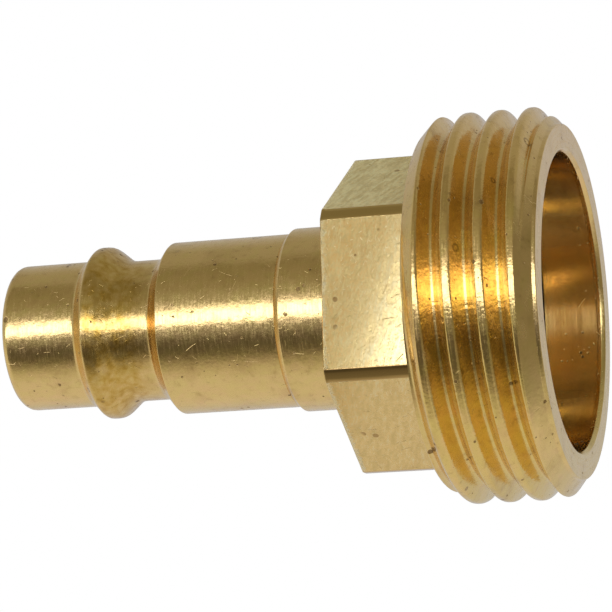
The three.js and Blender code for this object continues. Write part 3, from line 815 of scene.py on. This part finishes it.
class Field:
    """A number that varies over a surface or a sky. Arithmetic on it adds shader nodes."""

    def __init__(self, tree, socket):
        self.tree = tree
        self.socket = socket

    def math(self, operation, *others):
        node = add_node(self.tree, "ShaderNodeMath", self, *others, operation=operation)
        return Field(self.tree, node.outputs[0])

    def __add__(self, other):
        return self.math("ADD", other)

    def __sub__(self, other):
        return self.math("SUBTRACT", other)

    def __rsub__(self, other):
        return self * -1 + other

    def __mul__(self, other):
        return self.math("MULTIPLY", other)

    def __truediv__(self, other):
        return self.math("DIVIDE", other)

    __radd__ = __add__
    __rmul__ = __mul__

    def size(self):
        return self.math("ABSOLUTE")

    def rise(self, low, high):
        """0 before low, 1 past high and smooth between. It falls where low is above high."""
        limits = (low, high, 0.0, 1.0)
        node = add_node(self.tree, "ShaderNodeMapRange", self, *limits, interpolation_type="SMOOTHSTEP")
        return Field(self.tree, node.outputs[0])


def fill(tree, socket, value):
    """Links a field or another node's output to a socket, or sets its value. None leaves it as it is."""
    if isinstance(value, Field):
        value = value.socket
    if isinstance(value, bpy.types.NodeSocket):
        tree.links.new(value, socket)
    elif value is not None:
        socket.default_value = (*value, 1) if socket.type == "RGBA" else value


def add_node(tree, kind, *inputs, **settings):
    """A shader node, with its sockets filled in order."""
    node = tree.nodes.new(kind)
    for name, value in settings.items():
        setattr(node, name, value)
    for socket, value in zip([socket for socket in node.inputs if socket.enabled], inputs):
        fill(tree, socket, value)
    return node


def mixed(tree, share, first, second):
    """One colour where share is 0 and the other where it is 1."""
    return add_node(tree, "ShaderNodeMix", share, first, second, data_type="RGBA").outputs[2]


def empty_tree(owner):
    """The shader tree of a material or a world, with no nodes in it."""
    owner.use_nodes = True
    owner.node_tree.nodes.clear()
    return owner.node_tree


UNWRAP_RADIUS = 8  # millimetres from the axis where patterns on an unwrapped surface are true to size
SPOT_EDGE = 0.03  # softness of a spot, as a share of its cell
RIM_HALF_WIDTH = 0.035  # of a dried drop's ring, as a share of its cell
SHARE_STEP = 0.01  # how sharply cells are told apart by their random numbers


class Finish:
    """A material in the making, and the coordinates its patterns run over, in millimetres."""

    def __init__(self, name):
        self.material = bpy.data.materials.new(name)
        self.tree = empty_tree(self.material)
        place = self.add("ShaderNodeTexCoord").outputs["Object"]
        self.point = self.add("ShaderNodeMapping", place, None, None, (1 / MM,) * 3).outputs[0]
        self.x, self.y, self.z = self.split(self.point)
        self.radius = (self.y * self.y + self.z * self.z).math("SQRT")
        self.turn = (self.y * -1).math("ARCTAN2", self.z)
        self.arc = self.turn * UNWRAP_RADIUS

    def add(self, kind, *inputs, **settings):
        return add_node(self.tree, kind, *inputs, **settings)

    def field(self, socket):
        return Field(self.tree, socket)

    def split(self, vector):
        return [self.field(output) for output in self.add("ShaderNodeSeparateXYZ", vector).outputs]

    def join(self, *numbers):
        return self.add("ShaderNodeCombineXYZ", *numbers).outputs[0]

    def noise(self, vector, scale, detail=2.0, distortion=0.0):
        """Cloudy noise about 0, mostly between -0.5 and 0.5. Scale is in lumps per millimetre."""
        node = self.add("ShaderNodeTexNoise", vector, scale, detail, 0.5, 2.0, distortion)
        return self.field(node.outputs[0]) * 2 - 1

    def cells(self, vector, cell_size, **settings):
        """Random cells: the distance to the nearest centre, a random colour and the centre's place."""
        return self.add("ShaderNodeTexVoronoi", vector, 1 / cell_size, **settings).outputs

    def marked_cells(self, cell_size, share, seed):
        """The distance to the nearest centre, its cell's random size, and 1 where that cell has a mark."""
        distance, colour = self.cells(self.join(self.x + seed, self.y, self.z), cell_size)[:2]
        size, chance, _ = self.split(colour)
        return self.field(distance), size, chance.rise(share, share - SHARE_STEP)

    def spots(self, cell_size, spot_size, share=1.0, seed=0.0):
        """Round marks, 1 inside, on a share of the cells. Their sizes vary up to spot_size."""
        distance, size, marked = self.marked_cells(cell_size, share, seed)
        return (distance - size * (spot_size / 2 / cell_size)).rise(SPOT_EDGE, -SPOT_EDGE) * marked

    def rims(self, cell_size, rim_size, share, seed):
        """Dark rings left by dried drops, on a share of the cells."""
        distance, size, marked = self.marked_cells(cell_size, share, seed)
        from_rim = distance - (size + 0.5) * (rim_size / 3 / cell_size)
        return from_rim.size().rise(RIM_HALF_WIDTH, 0.0) * marked * 0.8

    def scratches(self, cell_size, length, width, share=1.0, seed=0.0):
        """Short bent marks in every direction on the unwrapped surface, on a share of the cells."""
        flat = self.join(self.x + seed, self.arc + self.radius * 0.7, 0.0)
        _, colour, centre = self.cells(flat, cell_size, voronoi_dimensions="2D")[:3]
        offset = self.add("ShaderNodeVectorMath", flat, centre, operation="SUBTRACT").outputs[0]
        across, up, _ = self.split(offset)
        red, green, blue = self.split(colour)
        angle = red * math.pi
        cosine, sine = angle.math("COSINE"), angle.math("SINE")
        along = across * cosine + up * sine
        aside = up * cosine - across * sine + along * along * 0.15
        reach = (along.size() / (green + 0.35)).rise(length / 2, length / 3)
        return aside.size().rise(width / 2, 0.0) * reach * blue.rise(share, share - SHARE_STEP)

    def mix(self, share, first, second):
        return mixed(self.tree, share, first, second)

    def done(self, colour, roughness, height, metallic=1.0, **extra):
        """Closes the material. Height is in millimetres."""
        bump = self.add("ShaderNodeBump", 1.0, MM)
        fill(self.tree, bump.inputs["Height"], height)
        surface = self.add("ShaderNodeBsdfPrincipled", colour, metallic, roughness)
        fill(self.tree, surface.inputs["Normal"], bump.outputs[0])
        for name, value in extra.items():
            fill(self.tree, surface.inputs[name.title()], value)
        self.add("ShaderNodeOutputMaterial", surface.outputs[0])
        return self.material


# ------------ finishes
# A noise is given its scale and its detail. A number that multiplies a pattern is that pattern's weight.

BRASS = (0.86, 0.60, 0.215)
BRASS_PALE = (0.88, 0.78, 0.40)
# Pale bright brass for the painted glints on the hexagon's burr and flecks.
BRASS_BURR_GLINT = (0.95, 0.82, 0.46)
OLIVE = (0.60, 0.44, 0.14)
BRASS_GREEN = (0.80, 0.62, 0.18)
BRASS_RED = (0.88, 0.56, 0.24)
# Tarnish, and also the painted shade on the hexagon's corner bands.
BRASS_TARNISH_AND_SHADE = (0.42, 0.25, 0.075)
BRASS_BORE = (0.92, 0.60, 0.165)
BRASS_THREAD = (0.87, 0.595, 0.17)
# Painted shade for the hollow neck behind the bead.
NECK_PAINTED_SHADE = (0.60, 0.35, 0.05)
SPOT_BROWN = (0.26, 0.15, 0.05)
PISTON_BRASS = (0.84, 0.52, 0.20)
STEEL, STEEL_FILM = (0.63, 0.61, 0.58), (0.46, 0.45, 0.43)
OILED_STEEL, OILED_STEEL_FILM = (0.40, 0.38, 0.35), (0.20, 0.19, 0.18)
# The bronze pore colour is painted shade in the gaps between the balls.
BRONZE_BALL, BRONZE_PORE_SHADE, BRONZE_STAIN = (0.62, 0.40, 0.19), (0.06, 0.035, 0.015), (0.30, 0.17, 0.08)
RUBBER_BLACK, RUBBER_BLOOM = (0.012, 0.012, 0.013), (0.045, 0.045, 0.047)
DUST = (0.30, 0.28, 0.25)
ACETAL_WHITE, ACETAL_SHADOW = (0.84, 0.82, 0.77), (0.74, 0.71, 0.63)
PTFE_WHITE, PTFE_SHADOW = (0.90, 0.90, 0.89), (0.82, 0.82, 0.80)
BALL_SIZE = 1 / 7
SMOOTHEST_TURNED = 0.09
SMOOTHEST_FLAT = 0.12
# Tilted a little, so that faces square to the axis have a direction to stretch in too.
NEARLY_ALONG_AXIS = (1.0, 0.01, 0.013)


def turned_brass(name, colour=BRASS, roughness=0.19, tarnish_and_painted_tint=0.35, wear=1.0, relief=1.0, stretch=0.0):
    """Brass off the lathe: rings from the tool's feed, handling scratches, pits and faint stains.

    Stretch draws the highlights out along the axis, as fine tool rings do.
    """
    f = Finish(name)
    feed = f.x + f.radius * 0.73
    rings = f.noise(f.join(feed, f.turn * 0.4, 0.0), 9.0, 3.0)
    patches = f.noise(f.join(f.x, f.arc, f.radius), 1.1, 3.0, 0.4)
    streaks = f.noise(f.join(feed * 6, f.arc * 0.5, f.radius), 1.6, 2.0)
    clouds = f.noise(f.point, 0.45, 3.0)
    mottle = f.noise(f.point, 1.8, 4.0)
    grain = f.noise(f.point, 5.0, 3.0)
    long_marks = f.scratches(1.8, 1.1, 0.06, 0.22 * wear)
    short_marks = f.scratches(0.6, 0.4, 0.05, 0.16 * wear, 31.0)
    marks = long_marks.math("MAXIMUM", short_marks)
    pits = f.spots(1.4, 0.42, 0.3).math("MAXIMUM", f.spots(0.6, 0.16, 0.35, 17.0))
    pits = pits.math("MAXIMUM", f.spots(0.45, 0.3, 0.5, 41.0) * clouds.rise(0.14, 0.26))
    rims = f.rims(3.4, 0.6, 0.5, 8.0)
    stain = clouds.rise(-0.1, 0.75) * tarnish_and_painted_tint + mottle.rise(0.05, 0.8) * (tarnish_and_painted_tint + 0.1)
    stain = stain + grain.rise(0.1, 0.8) * tarnish_and_painted_tint * 0.6
    # Painted light: the f.z term paints the brass greener towards the bottom and redder towards the top,
    # standing in for the colour of the light from below and above. The tarnish argument also sets how much of
    # this painted tint, and of the random green and red patches, shows.
    tone_with_painted_light = f.mix((patches + f.z * 0.035).rise(-0.5, 0.5), BRASS_GREEN, BRASS_RED)
    tone_with_painted_light = f.mix(tarnish_and_painted_tint, colour, tone_with_painted_light)
    # Painted shade: the bead's rear slope and the neck behind it are painted dark brown, for the shade and
    # the barrel's dark reflection in this hollow.
    neck_painted_shade = f.x.rise(BEAD_X + 0.7, BEAD_X + 1.1) * f.x.rise(SHANK_X + 0.3, NECK_X + 0.8) * (mottle + 0.6)
    tone_with_painted_light = f.mix(neck_painted_shade, tone_with_painted_light, NECK_PAINTED_SHADE)
    shade = f.mix(stain, tone_with_painted_light, BRASS_TARNISH_AND_SHADE)
    shade = f.mix((pits + rims).math("MINIMUM", 1.0) * 0.85, shade, SPOT_BROWN)
    uneven = (rings * 0.1 + streaks * 0.2 + grain * 0.1) * relief
    dull = roughness + uneven + stain * 0.1 + marks * 0.18 + pits * 0.3
    height = (rings * 0.0006 + grain * 0.004 + streaks * 0.0015 + mottle * 0.006) * relief
    height = height - marks * 0.008 - pits * 0.02
    dull = dull.math("MAXIMUM", SMOOTHEST_TURNED)
    return f.done(shade, dull, height, anisotropic=stretch, tangent=f.join(*NEARLY_ALONG_AXIS))


def flat_brass(name):
    """The hexagon: grained flats, polished at one end, less metallic and painted paler on top as painted
    light from above, and smooth bands at its corners, painted darker as painted shade.
    """
    f = Finish(name)
    band = f.radius.rise(HEX_CORNER_RADIUS - 0.05, HEX_CORNER_RADIUS - 0.03)
    face = 1 - band
    along = f.x * 0.36 - f.arc * 0.93
    across = f.x * 0.93 + f.arc * 0.36
    slant = f.noise(f.join(across * 3, along * 0.8, f.radius), 1.0, 3.0)
    fine_slant = f.noise(f.join(across * 8, along * 2.2, f.radius), 1.0, 2.0)
    grain = f.noise(f.point, 5.0, 3.0)
    clouds = f.noise(f.point, 0.5, 2.0)
    marks = f.scratches(0.9, 0.9, 0.06, 0.5, 5.0)
    pits = f.spots(1.7, 0.4, 0.5, 3.0)
    blotches = f.noise(f.point, 1.7, 3.0, 0.6)
    polish = (f.x - f.z * 0.45 + blotches * 0.8).rise(4.0, 10.0)
    top = f.z.rise(HEX_ACROSS_FLATS / 2 - 0.4, HEX_ACROSS_FLATS / 2 - 0.1) * face
    # Painted light: the top flat and the upper flats are painted paler, and the lower flats less pale, for
    # the light that falls from above.
    painted_top_light = top * 0.45 + f.z.rise(-2.0, 2.0) * 0.4 - 0.1
    flecks = f.scratches(0.3, 0.22, 0.05, 0.45, 77.0)
    # Painted shade: the narrow corner bands are painted darker in the tarnish colour, most on the bands near
    # mid-height.
    skin = band * (f.z.size().rise(3.0, 1.0) * 0.4 + 0.35)
    # Painted glint: the ragged burr along the collar end of the flats is painted pale bright brass, and so
    # are the fine scratch flecks.
    edge = (f.x + grain * 0.3).rise(HEX_X + 0.4, HEX_X + 0.15) * face
    blots = f.spots(0.9, 0.5, 0.6, 12.0) * clouds.rise(0.05, 0.2)
    shade = f.mix((clouds.rise(0.0, 0.8) * 0.3).math("MAXIMUM", skin), BRASS, BRASS_TARNISH_AND_SHADE)
    shade = f.mix(((slant + fine_slant).rise(-0.2, 0.8) * 0.5 + painted_top_light) * face, shade, BRASS_PALE)
    shade = f.mix((slant * 1.5 + grain + blotches * 0.5).rise(0.5, -0.8) * 0.55 * face, shade, OLIVE)
    shade = f.mix((flecks * 0.5 * face).math("MAXIMUM", edge * 0.7), shade, BRASS_BURR_GLINT)
    shade = f.mix(pits.math("MAXIMUM", blots) * 0.8 * face, shade, BRASS_TARNISH_AND_SHADE)
    grit = slant * 0.3 + grain * 0.25 + blotches * 0.2 - flecks * 0.3
    dull = 0.16 + (0.6 - polish * 0.52 + grit * (1 - polish * 0.5) + marks * 0.15 + pits * 0.2) * face
    relief = slant * 0.045 + fine_slant * 0.018 + grain * 0.018 + blotches * 0.05 + flecks * 0.01
    height = (relief * (1 - polish * 0.6) + edge * grain * 0.08 - marks * 0.012 - pits * 0.02) * face
    return f.done(shade, dull.math("MAXIMUM", SMOOTHEST_FLAT), height, 1 - top * 0.4)


def plain_metal(name, colour, dark, roughness):
    """Stainless and spring steel: fine rings, a grey film in patches and small marks."""
    f = Finish(name)
    rings = f.noise(f.join(f.x + f.radius, f.turn * 0.3, 0.0), 12.0, 3.0)
    clouds = f.noise(f.point, 0.9, 3.0)
    grain = f.noise(f.point, 12.0, 2.0)
    marks = f.scratches(1.1, 1.0, 0.04, 0.6, 9.0)
    shade = f.mix(clouds.rise(-0.2, 0.6) * 0.7, colour, dark)
    dull = roughness + rings * 0.06 + clouds * 0.08 + marks * 0.2
    return f.done(shade, dull, rings * 0.0007 + grain * 0.0006 - marks * 0.004)


def sintered_bronze(name):
    """Bronze balls fused together, with painted shade in the pores between them."""
    f = Finish(name)
    distance = f.field(f.cells(f.point, BALL_SIZE)[0])
    ball = distance.rise(0.75, 0.1)
    clouds = f.noise(f.point, 2.0, 2.0)
    shade = f.mix(ball.rise(0.1, 0.7), BRONZE_PORE_SHADE, BRONZE_BALL)
    shade = f.mix(clouds.rise(0.0, 0.6) * 0.5, shade, BRONZE_STAIN)
    return f.done(shade, 0.42 - ball * 0.1, ball * 0.05, metallic=0.9)


def rubber(name):
    """Black rubber: a matt moulded skin, a bloom of grey and specks of dust."""
    f = Finish(name)
    clouds = f.noise(f.point, 1.3, 3.0)
    grain = f.noise(f.point, 16.0, 2.0)
    dust = f.spots(0.5, 0.09, 0.4, 2.0)
    shade = f.mix(clouds.rise(-0.2, 0.7) * 0.6, RUBBER_BLACK, RUBBER_BLOOM)
    shade = f.mix(dust * 0.5, shade, DUST)
    return f.done(shade, 0.48 + clouds * 0.1, grain * 0.002, metallic=0.0)


def plastic(name, colour, shadow, roughness):
    """Acetal or PTFE cut on a lathe: soft rings, faint clouding and a waxy grain."""
    f = Finish(name)
    rings = f.noise(f.join(f.x + f.radius * 0.8, f.turn * 0.3, 0.0), 10.0, 2.0)
    clouds = f.noise(f.point, 0.8, 3.0)
    grain = f.noise(f.point, 14.0, 2.0)
    shade = f.mix(clouds.rise(-0.3, 0.7) * 0.7, colour, shadow)
    dull = roughness + rings * 0.08 + clouds * 0.06
    return f.done(shade, dull, rings * 0.0015 + grain * 0.001, metallic=0.0)


TURNED = turned_brass("brass_turned")
FLAT = flat_brass("brass_hexagon")
THREAD = turned_brass("brass_thread", BRASS_THREAD, roughness=0.17, tarnish_and_painted_tint=0.45, wear=0.4, relief=1.5)
BORE = turned_brass(
    "brass_bore", BRASS_BORE, roughness=0.16, tarnish_and_painted_tint=0.3, wear=0.15, relief=0.25, stretch=1.0
)
MATERIAL_OF_SLOT = {
    "brass": TURNED,
    "piston_brass": turned_brass(
        "piston_brass", PISTON_BRASS, roughness=0.14, tarnish_and_painted_tint=0.15, wear=0.3, relief=0.5
    ),
    "stainless": plain_metal("stainless", STEEL, STEEL_FILM, 0.24),
    "spring_steel": plain_metal("spring_steel", OILED_STEEL, OILED_STEEL_FILM, 0.30),
    "sintered_bronze": sintered_bronze("sintered_bronze"),
    "rubber": rubber("rubber"),
    "acetal": plastic("acetal", ACETAL_WHITE, ACETAL_SHADOW, 0.34),
    "ptfe": plastic("ptfe", PTFE_WHITE, PTFE_SHADOW, 0.42),
}


# ------------ pieces

def add_plain_piece(node, mesh):
    return add_piece(node, mesh, MATERIAL_OF_SLOT[SLOT_OF_NODE[node]])


add_piece("regulator_body", body_mesh(), TURNED, FLAT, THREAD, BORE)
for node, make_mesh in (
    ("inlet_plug", plug_mesh),
    ("nozzle_seat", nozzle_mesh),
    ("guide_bush", guide_bush_mesh),
    ("piston", piston_mesh),
    ("seat_disc", seat_disc_mesh),
    ("retaining_ring", retaining_ring_mesh),
    ("strainer_snap_ring", snap_ring_mesh),
    ("strainer_frame", strainer_frame_mesh),
    ("vent_filter", vent_filter_mesh),
):
    add_plain_piece(node, make_mesh())
for washer, inner, edge in (
    ("seal_backup_washer", STEM_GUIDE_RADIUS, 0.05),
    ("spring_washer", 2.9, 0.08),
    ("pressure_shim", 4.4, 0.05),
    ("stop_washer", 6.2, 0.1),
    ("piston_backup_ring", 7.05, 0.05),
):
    add_plain_piece(washer, washer_mesh(washer, inner, edge))
for ring, half in (
    ("nozzle_o_ring", 0.29),
    ("stem_seal", 0.4),
    ("plug_o_ring", 0.36),
    ("piston_o_ring", 0.55),
):
    add_plain_piece(ring, o_ring_mesh(ring, half))

screen = add_plain_piece("strainer_screen", strainer_screen_mesh())
sheet = screen.modifiers.new("sheet", "SOLIDIFY")
sheet.thickness = SCREEN_WALL * MM
sheet.offset = -1

spring = add_plain_piece("main_spring", spring_mesh())
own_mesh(spring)


# ------------ stage, light and camera

# The light from each direction round the object's long axis. The angle of each stop is in degrees: 0 is
# level in front, 90 is overhead, -90 is the table and 180 is level behind.
SKY_ROUND = (
    (-180, (0.48, 0.49, 0.50)),
    (-165, (0.52, 0.53, 0.57)),
    (-150, (0.56, 0.58, 0.66)),
    (-125, (0.60, 0.61, 0.70)),
    (-100, (0.68, 0.67, 0.76)),
    (-55, (0.65, 0.66, 0.72)),
    (-43, (0.57, 0.57, 0.58)),
    (-34, (0.47, 0.46, 0.45)),
    (-25, (0.28, 0.27, 0.24)),
    (-16, (0.14, 0.13, 0.11)),
    (-6, (0.10, 0.095, 0.085)),
    (2, (0.11, 0.10, 0.095)),
    (14, (0.28, 0.28, 0.30)),
    (50, (0.42, 0.43, 0.42)),
    (64, (0.35, 0.36, 0.31)),
    (75, (0.28, 0.27, 0.22)),
    (104, (0.24, 0.23, 0.18)),
    (118, (0.34, 0.34, 0.32)),
    (140, (0.35, 0.35, 0.31)),
    (160, (0.42, 0.43, 0.44)),
    (180, (0.48, 0.49, 0.50)),
)
# The two ends of the room, by elevation in degrees.
SKY_RIGHT = (
    (-90, (0.69, 0.69, 0.75)),
    (-45, (0.60, 0.60, 0.64)),
    (-28, (0.34, 0.34, 0.33)),
    (-12, (0.24, 0.23, 0.19)),
    (50, (0.22, 0.21, 0.17)),
    (90, (0.24, 0.22, 0.14)),
)
SKY_LEFT = (
    (-90, (0.70, 0.70, 0.75)),
    (-20, (0.68, 0.68, 0.72)),
    (-5, (0.62, 0.62, 0.62)),
    (5, (0.48, 0.50, 0.50)),
    (25, (0.44, 0.46, 0.46)),
    (50, (0.36, 0.37, 0.34)),
    (90, (0.24, 0.22, 0.14)),
)
# A long soft light parallel to the axis. Each edge is given by the degrees where it is dark and full.
KEY_COLOUR = (3.0, 3.2, 4.2)
KEY_BOTTOM, KEY_TOP = (21.5, 29.5), (50.5, 38.5)
KEY_LEFT, KEY_RIGHT = (-72.0, -62.0), (72.0, 62.0)
BACKDROP = (1.0, 1.0, 1.0)
ROOM_END = (0.72, 0.92)  # how far a direction leans along X where an end of the room takes over


def sky_ramp(tree, share, stops, first, last):
    """Light against an angle in degrees, given as a share of the way from first to last."""
    node = add_node(tree, "ShaderNodeValToRGB", share)
    elements = node.color_ramp.elements
    node.color_ramp.interpolation = "EASE"
    elements.remove(elements[1])
    elements[0].position = 0
    elements[0].color = (*stops[0][1], 1)
    for degrees, colour in stops[1:]:
        elements.new((degrees - first) / (last - first)).color = (*colour, 1)
    return node.outputs[0]


def add_sky():
    """A studio: bright table, dim walls, a long key light, and a white backdrop that only the camera sees."""
    world = bpy.data.worlds.new("studio")
    bpy.context.scene.world = world
    tree = empty_tree(world)
    direction = add_node(tree, "ShaderNodeTexCoord").outputs["Generated"]
    x, y, z = [Field(tree, out) for out in add_node(tree, "ShaderNodeSeparateXYZ", direction).outputs]
    around = z.math("ARCTAN2", 0 - y) * math.degrees(1)
    aside = x.math("ARCTAN2", (0 - y).math("MAXIMUM", 0.001)) * math.degrees(1)
    rise = z.math("ARCSINE") / math.pi + 0.5
    key = around.rise(*KEY_BOTTOM) * around.rise(*KEY_TOP) * aside.rise(*KEY_LEFT) * aside.rise(*KEY_RIGHT)
    seen = Field(tree, add_node(tree, "ShaderNodeLightPath").outputs["Is Camera Ray"])
    light = sky_ramp(tree, around / 360 + 0.5, SKY_ROUND, -180, 180)
    for share, layer in (
        (x.rise(-ROOM_END[0], -ROOM_END[1]), sky_ramp(tree, rise, SKY_LEFT, -90, 90)),
        (x.rise(*ROOM_END), sky_ramp(tree, rise, SKY_RIGHT, -90, 90)),
        (key, KEY_COLOUR),
        (seen, BACKDROP),
    ):
        light = mixed(tree, share, light, layer)
    background = add_node(tree, "ShaderNodeBackground", light, 1.0)
    add_node(tree, "ShaderNodeOutputWorld", background.outputs[0])


FLOOR_SIZE = 3  # metres


def add_floor():
    """A plain white floor that only the camera sees. The light from the table is part of the sky."""
    under = (0, 0, -CREST_RADIUS * MM)
    bpy.ops.mesh.primitive_grid_add(x_subdivisions=8, y_subdivisions=8, size=FLOOR_SIZE, location=under)
    floor = bpy.context.object
    floor.name = "floor"
    material = bpy.data.materials.new("white_floor")
    tree = empty_tree(material)
    glow = add_node(tree, "ShaderNodeEmission", BACKDROP, 1.0)
    add_node(tree, "ShaderNodeOutputMaterial", glow.outputs[0])
    floor.data.materials.append(material)
    floor.visible_diffuse = False
    floor.visible_glossy = False
    floor.visible_transmission = False
    floor.visible_shadow = False


CAMERA_AT = (65.61, -211.20, 78.91)
CAMERA_FORWARD = (-0.2757, 0.9019, -0.3326)
CAMERA_UP = (0.0668, 0.3631, 0.9294)
CAMERA_LENS = 197.7


def add_camera():
    forward = Vector(CAMERA_FORWARD).normalized()
    right = forward.cross(Vector(CAMERA_UP)).normalized()
    up = right.cross(forward)
    camera = bpy.data.objects.new("camera", bpy.data.cameras.new("camera"))
    camera.data.lens = CAMERA_LENS
    camera.data.clip_start = 0.01
    turned = Matrix((right, up, -forward)).transposed().to_4x4()
    camera.matrix_world = Matrix.Translation(Vector(CAMERA_AT) * MM) @ turned
    bpy.context.scene.collection.objects.link(camera)
    bpy.context.scene.camera = camera


add_sky()
add_floor()
add_camera()
bpy.context.scene.view_settings.view_transform = "Standard"
